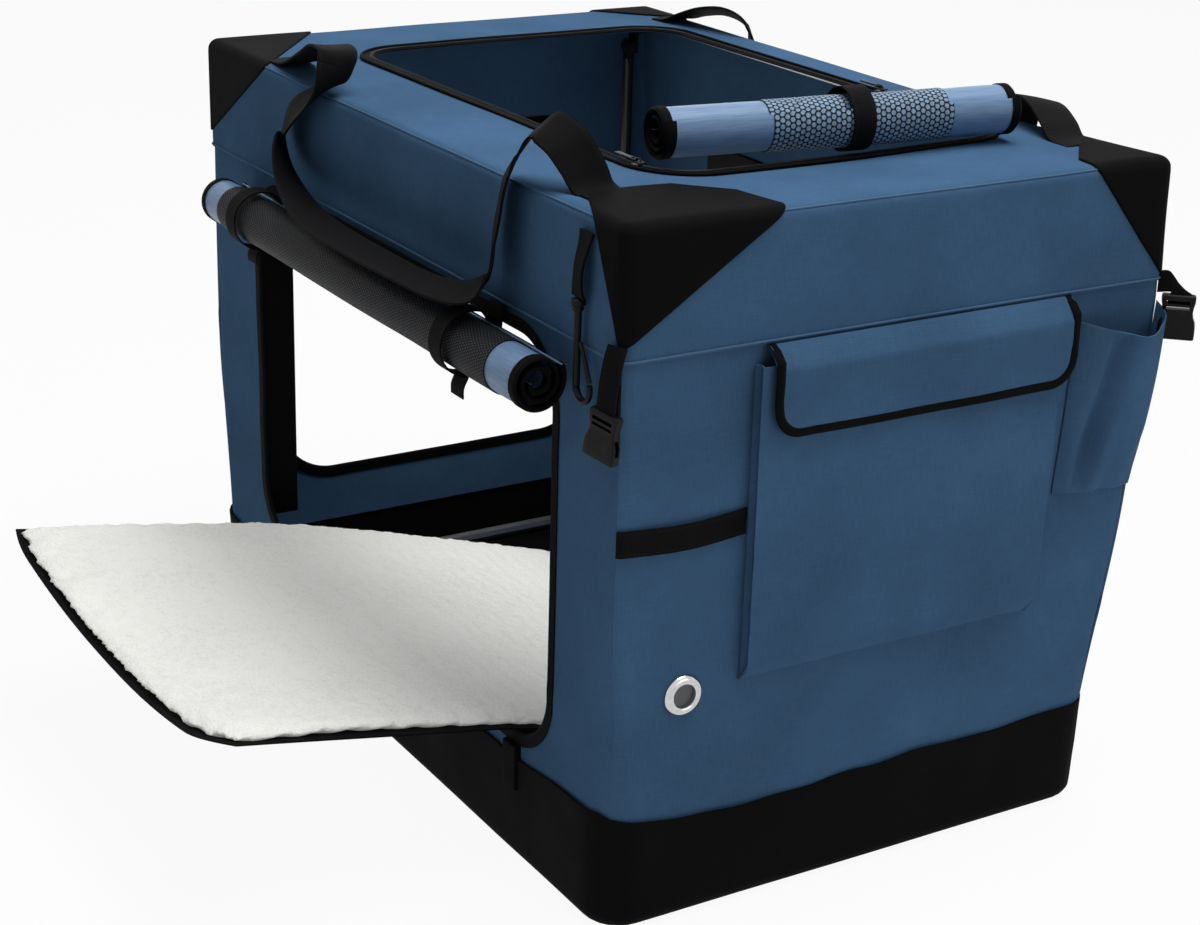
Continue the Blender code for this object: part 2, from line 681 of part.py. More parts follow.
def full_circle(radius):
    """Return a round outline whose flats lie at the radius, one of them on each axis."""
    half_step = 180 / STRAP_SIDES
    reach = radius / math.cos(math.radians(half_step))
    return arc((0, 0), reach, half_step, 360 - half_step, STRAP_SIDES - 1)


def roll_strap(name, radius, frame, tab_direction, riser=0.0) -> None:
    """Make a strap loop around a roll with a loose tab, and a riser up the wall to its seam."""
    outer = radius + SEAM_GAP + STRAP_THICKNESS
    share = 1 - STRAP_THICKNESS / outer
    direction = Vector(tab_direction)
    side = Vector((-direction.y, direction.x)) * TAB_THICKNESS / 2
    tab = [direction * outer - side, direction * outer + side]
    wings = [(tab, [p + direction * STRAP_TAB_LENGTH for p in tab])]
    points = [Vector(p) for p in full_circle(outer)]
    if riser:
        flat_end, next_corner = points[STRAP_SIDES // 2 - 1], points[STRAP_SIDES // 2 - 2]
        step = next_corner - flat_end
        foot = [flat_end, flat_end + step * TAB_THICKNESS / step.x]
        wings.append((foot, [Vector((p.x, riser)) for p in foot]))
        points.append(foot[1])
    points = sorted(points + tab, key=lambda p: math.atan2(p.y, p.x))

    def build(bm):
        rim = [bm.verts.new((*p, 0)) for p in points]
        core = [bm.verts.new((*(p * share), 0)) for p in points]
        for i in range(len(points)):
            bm.faces.new((rim[i - 1], rim[i], core[i], core[i - 1]))
        for (a, b), (far_a, far_b) in wings:
            ends = bm.verts.new((*far_b, 0)), bm.verts.new((*far_a, 0))
            bm.faces.new((rim[points.index(a)], rim[points.index(b)], *ends))

    band = add_object(name, mesh_from(name, build), "black_tape")
    band.matrix_world = frame
    solidify(band, ROLL_STRAP_WIDTH, 0)


def roll_axis(centre, direction, up):
    """Return a frame at a roll's centre with Z along the roll and Y upward."""
    along, up = Vector(direction), Vector(up)
    return Matrix.Translation(centre) @ Matrix((up.cross(along), up, along)).transposed().to_4x4()


def make_rolls() -> None:
    """Make the rolled doors and the rolled top flap with their straps."""
    standoff = BINDING_THICKNESS + 3 * SEAM_GAP + STRAP_THICKNESS + DOOR_ROLL_RADIUS
    left = Vector((-HALF_X - standoff, DOOR_ROLL_CENTRE_Y, ROLL_Z))
    rear = Vector((0, HALF_Y + standoff, ROLL_Z))
    riser = WALL_HIGH - SEAM_GAP - ROLL_Z
    wound_roll("left_door_roll", DOOR_ROLL_RADIUS, DOOR_ROLL_LENGTH, roll_axis(left, Y, Z), "blue_lining")
    wound_roll("rear_door_roll", DOOR_ROLL_RADIUS, REAR_ROLL_LENGTH, roll_axis(rear, X, Z), "blue_lining")
    for tag, y in zip("ab", LEFT_STRAP_PLACES):
        place = Vector((left.x, y, ROLL_Z))
        roll_strap(f"left_roll_strap_{tag}", DOOR_ROLL_RADIUS, roll_axis(place, Y, Z), (0, -1), riser)
    roll_strap("rear_roll_strap", DOOR_ROLL_RADIUS, roll_axis(rear, X, Z), (0, -1), riser)
    rest = CRATE_HEIGHT + BINDING_THICKNESS + 3 * SEAM_GAP + STRAP_THICKNESS + TOP_ROLL_RADIUS
    top = Vector((TOP_OPENING_CENTRE_X, TOP_ROLL_CENTRE_Y, rest))
    wound_roll("top_roll", TOP_ROLL_RADIUS, TOP_ROLL_LENGTH, roll_axis(top, X, Z), "blue_lining")
    strap = Vector((TOP_STRAP_X, TOP_ROLL_CENTRE_Y, rest))
    roll_strap("top_roll_strap", TOP_ROLL_RADIUS, roll_axis(strap, X, Z), (1, 0))


def profile_sheet(name, profile, x_low, x_high, thickness, offset, material):
    """Return a sheet with a profile of (Y, Z) points that runs along X."""
    obj = add_curve(name, profile, closed=False, flat=True)
    obj.data.fill_mode = "NONE"
    obj.data.extrude = (x_high - x_low) / 2
    frame = Matrix((Y, Z, X)).transposed().to_4x4()
    obj.matrix_world = Matrix.Translation(((x_low + x_high) / 2) * X) @ frame
    sheet = to_mesh_object(obj, material)
    solidify(sheet, thickness, offset)
    return sheet


def gusset_pocket(name, outline, low, high) -> None:
    """Make a pocket from its plan outline: closed below, open above and behind."""
    def build(bm):
        floor = [bm.verts.new((x, y, low)) for x, y in outline]
        bm.faces.new(floor)
        edges = [bm.edges.get((a, b)) for a, b in zip(floor, floor[1:])]
        lifted = bmesh.ops.extrude_edge_only(bm, edges=edges)["geom"]
        verts = [v for v in lifted if isinstance(v, bmesh.types.BMVert)]
        bmesh.ops.translate(bm, vec=(high - low) * Z, verts=verts)

    pocket = add_object(name, mesh_from(name, build), "blue_cloth")
    solidify(pocket, POCKET_CLOTH, -1)


def make_front_pocket() -> None:
    """Make the large pocket with its square gussets."""
    back, front = -HALF_Y - SEAM_GAP, -HALF_Y - SEAM_GAP - POCKET_DEPTH
    right = POCKET_LEFT + POCKET_WIDTH
    outline = [(POCKET_LEFT, back), (POCKET_LEFT, front), (right, front), (right, back)]
    gusset_pocket("front_pocket", outline, POCKET_LOW, POCKET_HIGH)


def make_flap() -> None:
    """Make the pocket's flap, hinged on its top seam."""
    hinge_y = -HALF_Y - SEAM_GAP - FLAP_THICKNESS / 2
    hang_y = -HALF_Y - SEAM_GAP - POCKET_DEPTH - FLAP_CLEARANCE - FLAP_THICKNESS / 2
    top = WALL_HIGH - FLAP_THICKNESS / 2
    profile = [
        (hinge_y, top), ((hinge_y + 2 * hang_y) / 3, top - FLAP_THICKNESS), (hang_y, POCKET_HIGH), (hang_y, FLAP_LOW)
    ]
    profile_sheet("pocket_flap", profile, FLAP_LEFT, FLAP_LEFT + FLAP_WIDTH, FLAP_THICKNESS, 0, "blue_cloth")


def make_bottle_pocket() -> None:
    """Make the bottle pocket: a bulging half round, closed below, open above and behind."""
    face = -HALF_Y - SEAM_GAP
    steps = 2 * ARC_STEPS
    bulge = BOTTLE_DEPTH - BOTTLE_SIDE
    outline = [(BOTTLE_CENTRE_X - BOTTLE_WIDTH / 2, face)]
    for i in range(steps + 1):
        angle = math.pi * (1 + i / steps)
        x = BOTTLE_CENTRE_X + BOTTLE_WIDTH / 2 * math.cos(angle)
        outline.append((x, face - BOTTLE_SIDE + bulge * math.sin(angle)))
    outline.append((BOTTLE_CENTRE_X + BOTTLE_WIDTH / 2, face))
    gusset_pocket("bottle_pocket", outline, BOTTLE_LOW, BOTTLE_HIGH)


def make_elastic() -> None:
    """Make the elastic band from the corner seam to the large pocket."""
    offset = SEAM_GAP + STRAP_THICKNESS / 2
    middle = (-(HALF_X - CORNER_RADIUS), -(HALF_Y - CORNER_RADIUS))
    seam = math.degrees(WALL_SEAM / CORNER_RADIUS)
    outline = arc(middle, CORNER_RADIUS + offset, 225 + seam, 270, WALL_ARC_STEPS)
    outline.append((POCKET_LEFT - ELASTIC_GAP, -HALF_Y - offset))
    low = ELASTIC_Z - ELASTIC_WIDTH / 2
    band = upright_ribbon("elastic_band", outline, low, low + ELASTIC_WIDTH, "black_tape")
    solidify(band, STRAP_THICKNESS, 0)


def make_patches() -> None:
    """Make the black patch over each top corner: an outer skin cut by a corner plane."""
    lift = SEAM_GAP + PATCH_THICKNESS
    corner = Vector((HALF_X, HALF_Y, CRATE_HEIGHT))
    for end, sign_y in (("front", -1), ("rear", 1)):
        for side, sign_x in (("left", -1), ("right", 1)):
            name = f"corner_patch_{end}_{side}"
            reaches = PATCH_REACHES[end, side]
            low = CRATE_HEIGHT - reaches.z - OVERRUN
            skin = tray(name, -lift, low, CRATE_HEIGHT + lift, TOP_EDGE + lift, -1, "black_cloth")
            solidify(skin, PATCH_THICKNESS, -1)
            share = 1 + sum(OVERRUN / reach for reach in reaches)
            apex = corner + Vector((OVERRUN, OVERRUN, OVERRUN))
            points = [apex] + [apex - share * reach * axis for reach, axis in zip(reaches, (X, Y, Z))]

            def build(bm, points=points, mirror=Vector((sign_x, sign_y, 1))):
                for point in points:
                    bm.verts.new(point * mirror)
                bmesh.ops.convex_hull(bm, input=bm.verts)

            tool = add_object(name + "_corner", mesh_from(name + "_corner", build), None)
            boolean(skin, tool, "INTERSECT")


def smooth_route(points, steps):
    """Return points of a smooth curve through route points."""
    padded = [2 * points[0] - points[1]] + points + [2 * points[-1] - points[-2]]
    result = []
    for a, b, c, d in zip(padded, padded[1:], padded[2:], padded[3:]):
        for i in range(steps):
            t = i / steps
            result.append(
                0.5 * (2 * b + (c - a) * t + (2 * a - 5 * b + 4 * c - d) * t**2 + (3 * b - a - 3 * c + d) * t**3)
            )
    return result + [points[-1]]


def webbing(name, route, sides, width, thickness, material="black_webbing"):
    """Return flat webbing along a route, with its width direction given at each point."""
    def build(bm):
        bmesh.ops.create_grid(bm, x_segments=len(route) - 1, y_segments=1, size=1)
        bm.verts.ensure_lookup_table()
        rows = sorted(bm.verts, key=lambda v: (round(v.co.y), v.co.x))
        for i, (point, side) in enumerate(zip(route, sides)):
            rows[i].co = point - side * width / 2
            rows[i + len(route)].co = point + side * width / 2

    strap = add_object(name, mesh_from(name, build), material)
    solidify(strap, thickness, 0)
    return strap


def handle_sides(route, twists):
    """Return a handle's width directions: along X, square to its run, turned by the twists."""
    sides = []
    last = len(route) - 1
    for i, twist in enumerate(twists):
        run = (route[min(i + 1, last)] - route[max(i - 1, 0)]).normalized()
        level = (X - X.dot(run) * run).normalized()
        sides.append(math.cos(twist) * level + math.sin(twist) * level.cross(run))
    return sides


def make_handle(name, runs, mirror) -> None:
    """Make one webbing handle, routed at the -X wall and mirrored, with the stubs that it swings from."""
    rows = [row for run in runs for row in run]
    route = [Vector((-HALF_X - out * MM, along * MM, CRATE_HEIGHT + up * MM)) for out, along, up, _ in rows]
    turns = [Vector((math.radians(twist), 0, 0)) for *_, twist in rows]
    points = smooth_route(route, HANDLE_STEPS)
    sides = handle_sides(points, [turn.x for turn in smooth_route(turns, HANDLE_STEPS)])
    front = HANDLE_STEPS * len(runs[0])
    rear = front + HANDLE_STEPS * (len(runs[1]) - 1)
    front_end = points[front] + HANDLE_GAP * (points[front - 1] - points[front]).normalized()
    rear_end = points[rear] + HANDLE_GAP * (points[rear + 1] - points[rear]).normalized()
    parts = (
        (name, points[front:rear + 1], sides[front:rear + 1]),
        (name + "_stub_front", points[:front] + [front_end], sides[:front + 1]),
        (name + "_stub_rear", [rear_end] + points[rear + 1:], sides[rear:]),
    )
    for part, run, widths in parts:
        run, widths = [point * mirror for point in run], [side * mirror for side in widths]
        webbing(part, run, widths, WEBBING_WIDTH, WEBBING_THICKNESS)


def make_handles() -> None:
    """Make the handles of the two long walls."""
    make_handle("near_handle", NEAR_HANDLE_RUNS, Vector((1, 1, 1)))
    make_handle("far_handle", FAR_HANDLE_RUNS, Vector((-1, 1, 1)))


def make_sliders() -> None:
    """Make the two zip sliders of the top opening, each with its pull."""
    base = CRATE_HEIGHT + BINDING_THICKNESS + 2 * SEAM_GAP
    reach = TOP_OPENING_WIDTH / 2 + BINDING_WIDTH / 2
    for side, sign, y in (("left", -1, LEFT_SLIDER_Y), ("right", 1, RIGHT_SLIDER_Y)):
        x = TOP_OPENING_CENTRE_X + sign * reach
        name = f"{side}_zip_slider"
        body = box(
            name, (x - SLIDER_WIDTH / 2, y - SLIDER_LENGTH / 2, base),
            (x + SLIDER_WIDTH / 2, y + SLIDER_LENGTH / 2, base + SLIDER_HEIGHT), "black_plastic",
        )
        pull_x = x + sign * SLIDER_WIDTH / 4
        pull = box(
            name + "_pull", (pull_x - PULL_WIDTH / 2, y, base + SLIDER_HEIGHT - PULL_THICKNESS),
            (pull_x + PULL_WIDTH / 2, y + SLIDER_LENGTH / 2 + PULL_LENGTH, base + SLIDER_HEIGHT + PULL_THICKNESS / 2),
            None,
        )
        fuse(body, pull)


def make_hook() -> None:
    """Make the hook strap, the swivel snap hook and its sprung gate."""
    x = -HALF_X - FITTING_STANDOFF
    sewn_x = -HALF_X - PATCH_THICKNESS - 2 * SEAM_GAP - WEBBING_THICKNESS / 2
    strap_points = [Vector((sewn_x, HOOK_Y, HOOK_STRAP_TOP)), Vector((x, HOOK_Y, HOOK_STRAP_LOW))]
    webbing("hook_strap", strap_points, [Y, Y], NARROW_WEBBING, WEBBING_THICKNESS)
    top = HOOK_STRAP_LOW - SEAM_GAP
    swivel = cylinder("snap_hook", (x, HOOK_Y, top - SWIVEL_HEIGHT), (x, HOOK_Y, top), SWIVEL_RADIUS, "black_plastic")
    stem_low = top - SWIVEL_HEIGHT - HOOK_STEM
    bend_mid = stem_low - HOOK_LENGTH
    bend = arc((HOOK_Y - HOOK_BEND_RADIUS, bend_mid), HOOK_BEND_RADIUS, 0, -180, 2 * ARC_STEPS)
    tip = Vector((x, HOOK_Y - 2 * HOOK_BEND_RADIUS, bend_mid + HOOK_BEND_RADIUS / 2))
    path = [(x, HOOK_Y, top - SWIVEL_HEIGHT / 2), (x, HOOK_Y, stem_low)]
    path += [(x, y, z) for y, z in bend]
    path.append(tip)
    fuse(swivel, tube("snap_hook_wire", path, HOOK_WIRE_RADIUS, None))
    gate_low = tip + (GATE_CLEARANCE + GATE_RADIUS) * Z
    gate_high = Vector((x, HOOK_Y - HOOK_WIRE_RADIUS - GATE_CLEARANCE - GATE_RADIUS, stem_low))
    cylinder("hook_gate", gate_low, gate_high, GATE_RADIUS, "black_plastic", PIN_SIDES)


def buckle(name, frame, web_top, web_low, body_x) -> None:
    """Make a hollow half buckle in a frame with Y up, on a webbing that runs to it from its sewn top.

    The webbing's sewn end and its end in the buckle are given by their two edges, and body_x is the
    buckle's middle.
    """
    depth, half_width = BUCKLE_DEPTH / 2, BUCKLE_WIDTH / 2
    body_top = web_low[0].y + BUCKLE_WALL

    def local_box(tag, low, high, material):
        made = box(tag, low, high, material)
        made.data.transform(frame)
        return made

    def build(bm):
        for point in (*web_top, *web_low):
            for side in (-1, 1):
                bm.verts.new(frame @ Vector((point.x, point.y, side * WEBBING_THICKNESS / 2)))
        bmesh.ops.convex_hull(bm, input=bm.verts)

    body = local_box(
        name, (body_x - half_width, body_top - BUCKLE_HEIGHT, -depth), (body_x + half_width, body_top, depth),
        "black_plastic",
    )
    hollow = local_box(
        name + "_mouth",
        (body_x - half_width + BUCKLE_WALL, body_top - BUCKLE_HEIGHT - OVERRUN, BUCKLE_WALL - depth),
        (body_x + half_width - BUCKLE_WALL, body_top - 3 * BUCKLE_WALL, depth - BUCKLE_WALL), None,
    )
    fuse(body, add_object(name + "_web", mesh_from(name + "_web", build), None))
    cut(body, hollow)


def make_buckles() -> None:
    """Make the half buckles at the front corners: one hangs flat, the other stands off edge on."""
    half_web = NARROW_WEBBING / 2
    corner = Vector((HALF_X - CORNER_RADIUS, -(HALF_Y - CORNER_RADIUS), WALL_HIGH))

    outward = Vector((-1, -1, 0)).normalized()
    reach = CORNER_RADIUS + SEAM_GAP + BUCKLE_DEPTH / 2 + SEAM_GAP
    place = corner * Vector((-1, 1, 1)) + outward * reach
    frame = Matrix.Translation(place) @ Matrix((Z.cross(outward), Z, outward)).transposed().to_4x4()
    low = -NEAR_STRAP_LENGTH - BUCKLE_WALL
    buckle(
        "near_buckle", frame, (Vector((-half_web, 0)), Vector((half_web, 0))),
        (Vector((-half_web, low)), Vector((half_web, low))), 0,
    )

    outward = Vector((1, -1, 0)).normalized()
    place = corner + outward * (CORNER_RADIUS + 2 * SEAM_GAP)
    frame = Matrix.Translation(place) @ Matrix((outward, Z, outward.cross(Z))).transposed().to_4x4()
    low, middle = -RIGHT_STRAP_LENGTH - BUCKLE_WALL, RIGHT_STRAP_REACH + half_web
    buckle(
        "right_buckle", frame, (Vector((0, 0)), Vector((0, -NARROW_WEBBING))),
        (Vector((middle - half_web, low)), Vector((middle + half_web, low))), middle,
    )


def pad_height(x):
    """Return the pad's middle height at a place along X."""
    if x < -HALF_X:
        share = (x + HALF_X) / (PAD_OUTER_X + HALF_X)
        return PAD_SILL_Z + (PAD_OUTER_Z - PAD_SILL_Z) * share
    if x < PAD_LANDING_X:
        share = (x + HALF_X) / (PAD_LANDING_X + HALF_X)
        return PAD_SILL_Z + (PAD_INNER_Z - PAD_SILL_Z) * share
    return PAD_INNER_Z


def make_pad() -> None:
    """Make the fleece pad: a slab that slopes over the sill and droops at its outer end."""
    def build(bm):
        bmesh.ops.create_grid(bm, x_segments=PAD_STATIONS, y_segments=PAD_ROWS, size=0.5)
        for vert in bm.verts:
            x = PAD_OUTER_X + (vert.co.x + 0.5) * PAD_LENGTH
            across = 2 * vert.co.y
            out = max(0, (-HALF_X - x) / (-HALF_X - PAD_OUTER_X))
            droop = PAD_DROOP * out**2 * (1 - across**2)
            vert.co = Vector((x, PAD_CENTRE_Y + across * PAD_WIDTH / 2, pad_height(x) - droop))

    pad = add_object("fleece_pad", mesh_from("fleece_pad", build), "white_fleece")
    stuffing = pad.vertex_groups.new(name="stuffing")
    middle_x = PAD_OUTER_X + PAD_LENGTH / 2
    for vert in pad.data.vertices:
        inside_y = abs(vert.co.y - PAD_CENTRE_Y) < PAD_WIDTH / 2 - TOLERANCE
        inside = inside_y and abs(vert.co.x - middle_x) < PAD_LENGTH / 2 - TOLERANCE
        stuffing.add([vert.index], 1.0 if inside else 0.0, "REPLACE")
    solidify(pad, PAD_THICKNESS, 0)
    pad.modifiers[0].vertex_group = stuffing.name
    pad.modifiers[0].thickness_vertex_group = PAD_EDGE_SHARE


def main() -> None:
    """Build the whole crate."""
    global PARTS, CUTTERS
    clear_scene()
    PARTS = add_collection("soft_folding_dog_crate")
    CUTTERS = add_collection("cutters")
    add_material("blue_cloth", (0.07, 0.17, 0.32), 0.8)
    add_material("blue_lining", (0.16, 0.27, 0.53), 0.4)
    add_material("black_cloth", (0.006, 0.006, 0.007), 0.8)
    add_material("black_tape", (0.008, 0.008, 0.009), 0.7)
    add_material("black_webbing", (0.008, 0.008, 0.009), 0.75)
    add_material("black_net", (0.01, 0.01, 0.012), 0.6)
    add_material("black_plastic", (0.01, 0.01, 0.011), 0.4)
    add_material("white_fleece", (0.62, 0.61, 0.57), 0.95)
    add_material("steel", (0.5, 0.5, 0.52), 0.35, 1.0)
    add_material("black_steel", (0.02, 0.02, 0.022), 0.4)
    add_material("chrome", (0.75, 0.75, 0.77), 0.1, 1.0)
    make_covers()
    make_walls()
    make_top_binding()
    make_frame()
    make_rolls()
    make_front_pocket()
    make_flap()
    make_bottle_pocket()
    make_elastic()
    make_patches()
    make_handles()
    make_sliders()
    make_hook()
    make_buckles()
    make_pad()


main()
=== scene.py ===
"""Looks of the soft folding dog crate.

Each class is one sub-assembly: it builds its meshes over the sizes of the frame, dresses them and
gives them to the body that they move with. Units are metres with +Z up, and the origin is the middle
of the base's underside. -Y is the wall with the pockets, and -X the wall with the doorway that the
fleece pad lies through.
"""

from __future__ import annotations

import json
import logging
import math
from collections import Counter
from collections.abc import Callable, Iterator, Sequence
from contextlib import contextmanager
from dataclasses import dataclass, field
from enum import Enum

import bmesh
import bpy
from mathutils import Matrix, Vector, noise

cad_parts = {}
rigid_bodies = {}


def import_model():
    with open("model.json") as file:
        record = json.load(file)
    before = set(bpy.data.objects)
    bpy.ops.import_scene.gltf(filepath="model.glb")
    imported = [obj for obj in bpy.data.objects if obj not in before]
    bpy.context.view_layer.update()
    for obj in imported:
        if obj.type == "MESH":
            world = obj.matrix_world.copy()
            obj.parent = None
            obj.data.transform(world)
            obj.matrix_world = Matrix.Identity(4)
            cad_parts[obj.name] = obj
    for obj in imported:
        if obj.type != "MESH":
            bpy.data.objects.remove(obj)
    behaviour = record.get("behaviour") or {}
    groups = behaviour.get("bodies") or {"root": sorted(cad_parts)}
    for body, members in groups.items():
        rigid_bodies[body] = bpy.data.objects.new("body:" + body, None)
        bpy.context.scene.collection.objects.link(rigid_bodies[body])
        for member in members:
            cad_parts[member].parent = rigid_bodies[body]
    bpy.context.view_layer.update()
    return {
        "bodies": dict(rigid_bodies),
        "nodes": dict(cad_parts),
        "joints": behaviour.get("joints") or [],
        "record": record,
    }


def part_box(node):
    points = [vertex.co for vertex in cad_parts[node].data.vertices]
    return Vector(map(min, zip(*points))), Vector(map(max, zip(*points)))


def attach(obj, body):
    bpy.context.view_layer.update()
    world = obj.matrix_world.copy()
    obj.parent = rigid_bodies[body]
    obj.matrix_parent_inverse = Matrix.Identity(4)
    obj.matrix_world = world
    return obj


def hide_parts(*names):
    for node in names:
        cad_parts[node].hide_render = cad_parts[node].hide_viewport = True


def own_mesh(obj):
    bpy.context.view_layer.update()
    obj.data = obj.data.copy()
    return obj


LOG = logging.getLogger("crate")
MM = 0.001
X, Y, Z = Vector((1, 0, 0)), Vector((0, 1, 0)), Vector((0, 0, 1))
CLOTH_MAP = "cloth"
WELD_DISTANCE = 0.05 * MM
EYELET = (-191 * MM, 207 * MM)

Piece = bpy.types.Object
Color = tuple[float, float, float]
Place = Callable[[float, float], Vector]


class Fold(Enum):
    """Which way the soft pieces of a body would give way while the frame folds; here it only gives them
    meshes of their own.
    """

    WITH_BASE = "flattens down to the floor"
    WITH_TOP = "draws up under the top"


# The bodies named here have their pieces given meshes of their own; every body keeps its shape.
FOLDS = {
    **dict.fromkeys(("crate_base", "pocket_flap", "fleece_pad"), Fold.WITH_BASE),
    **dict.fromkeys(("hook_strap", "snap_hook", "hook_gate", "near_buckle", "right_buckle"), Fold.WITH_TOP),
}
# The record's slots of the finishes whose own name it doesn't have.
SLOTS = {
    **dict.fromkeys(("blue_seam", "blue_thread"), "blue_cloth"),
    **dict.fromkeys(("window_net", "door_net", "top_net", "painted_shade_net"), "black_net"),
    **dict.fromkeys(("zip_coil", "elastic_weave"), "black_tape"),
}


class Side(Enum):
    """The four walls, counted anticlockwise from above."""

    FRONT = 0
    RIGHT = 1
    REAR = 2
    LEFT = 3

    @property
    def outward(self) -> Vector:
        """Return the direction that the wall faces."""
        return (-Y, X, Y, -X)[self.value]

    @property
    def along(self) -> Vector:
        """Return the direction that runs along the wall, with the wall's outside to the right."""
        return Z.cross(self.outward)


def math_node(operation: str, swapped: bool = False) -> Callable[..., Signal]:
    """Return a method that adds one Math node over a signal and the values given to it.

    Args:
        operation: the node's operation.
        swapped: whether the signal comes after the other value.

    Returns:
        The method.
    """
    def method(self: Signal, *others: Signal | float) -> Signal:
        values = (*others, self) if swapped else (self, *others)
        return self.graph.node("ShaderNodeMath", {"operation": operation}, dict(enumerate(values)))

    return method


class Signal:
    """A shader socket that Python arithmetic can be written on."""

    def __init__(self, graph: Graph, socket: bpy.types.NodeSocket) -> None:
        """Wrap one output socket of a graph."""
        self.graph = graph
        self.socket = socket

    __add__ = __radd__ = math_node("ADD")
    __mul__ = __rmul__ = math_node("MULTIPLY")
    __sub__ = math_node("SUBTRACT")
    __rsub__ = math_node("SUBTRACT", swapped=True)
    __gt__ = math_node("GREATER_THAN")
    absolute = math_node("ABSOLUTE")
    sine = math_node("SINE")
    fraction = math_node("FRACT")

    def smooth(self, low: float, high: float) -> Signal:
        """Return a soft step from 0 at low to 1 at high."""
        inputs = {"Value": self, "From Min": low, "From Max": high}
        return self.graph.node("ShaderNodeMapRange", {"interpolation_type": "SMOOTHSTEP"}, inputs)


class Graph:
    """The node tree of one new material, or of the world."""

    def __init__(self, name: str, world: bpy.types.World | None = None) -> None:
        """Start a material that holds only a Principled shader and its output, or take the world's tree."""
        self.material = world or bpy.data.materials.new(name)
        self.material.use_nodes = True
        self.tree = self.material.node_tree
        self.shader = self.tree.nodes["Background" if world else "Principled BSDF"]

    def node(self, kind: str, settings: dict, inputs: dict, output: int = 0) -> Signal:
        """Add a node.

        Args:
            kind: the node's type.
            settings: its properties, set before its sockets.
            inputs: a number, colour or Signal for each socket name or index.
            output: which output socket is returned.

        Returns:
            The chosen output of the node.
        """
        node = self.tree.nodes.new(kind)
        for name, value in settings.items():
            setattr(node, name, value)
        for key, value in inputs.items():
            self.feed(node.inputs[key], value)
        return Signal(self, node.outputs[output])

    def feed(self, socket: bpy.types.NodeSocket, value: Signal | float | Sequence[float]) -> None:
        """Link a signal to a socket, or set the socket's own value."""
        if isinstance(value, Signal):
            self.tree.links.new(value.socket, socket)
        else:
            socket.default_value = value

    def cloth_map(self) -> tuple[Signal, Signal]:
        """Return the two distances in metres along a piece's own cloth."""
        uv = self.node("ShaderNodeUVMap", {"uv_map": CLOTH_MAP}, {})
        return tuple(self.node("ShaderNodeSeparateXYZ", {}, {0: uv}, output) for output in (0, 1))

    def space(self) -> Signal:
        """Return the place in the crate's own frame."""
        return self.node("ShaderNodeTexCoord", {}, {}, 3)

    def stretched(self, a: Signal | float, b: Signal | float) -> Signal:
        """Return a flat vector from two values."""
        return self.node("ShaderNodeCombineXYZ", {}, {0: a, 1: b})

    def noise(self, place: Signal, scale: float, detail: float = 2.0) -> Signal:
        """Return soft noise from 0 to 1, with scale lumps to the metre."""
        return self.node("ShaderNodeTexNoise", {}, {"Vector": place, "Scale": scale, "Detail": detail})

    def cells(self, place: Signal, scale: float) -> Signal:
        """Return the distance to the middle of the nearest random cell."""
        return self.node("ShaderNodeTexVoronoi", {}, {"Vector": place, "Scale": scale})

    def mix(self, share: Signal | float, first: Signal | Color, second: Signal | Color) -> Signal:
        """Return a colour between two colours."""
        colors = [value if isinstance(value, Signal) else (*value, 1) for value in (first, second)]
        return self.node("ShaderNodeMix", {"data_type": "RGBA"}, {0: share, 6: colors[0], 7: colors[1]}, 2)

    def bump(self, height: Signal, distance: float, strength: float = 1.0) -> Signal:
        """Return the normal of a surface raised by height times distance."""
        return self.node("ShaderNodeBump", {}, {"Height": height, "Distance": distance, "Strength": strength})

    def finish(self, **values: Signal | float | Sequence[float]) -> bpy.types.Material:
        """Feed the Principled shader by socket name, with _ for a space, and return the material."""
        for name, value in values.items():
            self.feed(self.shader.inputs[name.replace("_", " ")], value)
        return self.material


def tinted(color: Color, share: float) -> Color:
    """Return a colour made darker or lighter by a factor."""
    return tuple(min(1.0, part * share) for part in color)


@dataclass(frozen=True)
class WovenCloth:
    """Plain-woven synthetic cloth whose threads follow the piece's cloth map."""

    color: Color
    thread: float = 1.0 * MM
    contrast: float = 0.2
    fade: float = 0.2
    roughness: float = 0.85
    relief: float = 0.10 * MM
    wrinkle: float = 24.0
    gloss: float = 0.03

    def material(self, name: str) -> bpy.types.Material:
        """Return the cloth as a material."""
        graph = Graph(name)
        u, v = graph.cloth_map()
        wave = math.pi / self.thread
        warp, weft = (u * wave).sine(), (v * wave).sine()
        over = (warp * weft) > 0
        warp_streak = graph.noise(graph.stretched(u * (1 / self.thread), v * 60), 1.0)
        weft_streak = graph.noise(graph.stretched(u * 60, v * (1 / self.thread)), 1.0)
        streak = over * warp_streak + (1 - over) * weft_streak
        height = over * warp.absolute() + (1 - over) * weft.absolute()
        patch = graph.noise(graph.space(), 9.0, 3.0)
        tone = 0.5 + (streak - 0.5) * (4 * self.contrast) + (patch - 0.5) * (4 * self.fade)
        # Thread crowns are painted lighter and the gaps between threads darker: painted shade of the weave.
        tone = tone + (height - 0.7) * 0.25
        color = graph.mix(tone.smooth(0.0, 1.0), tinted(self.color, 0.72), tinted(self.color, 1.28))
        soft = graph.noise(graph.space(), 14.0, 4.0)
        relief = height * 0.6 + streak * 0.6 + soft * self.wrinkle
        return graph.finish(
            Base_Color=color, Roughness=self.roughness, Normal=graph.bump(relief, self.relief),
            Specular_IOR_Level=self.gloss,
        )


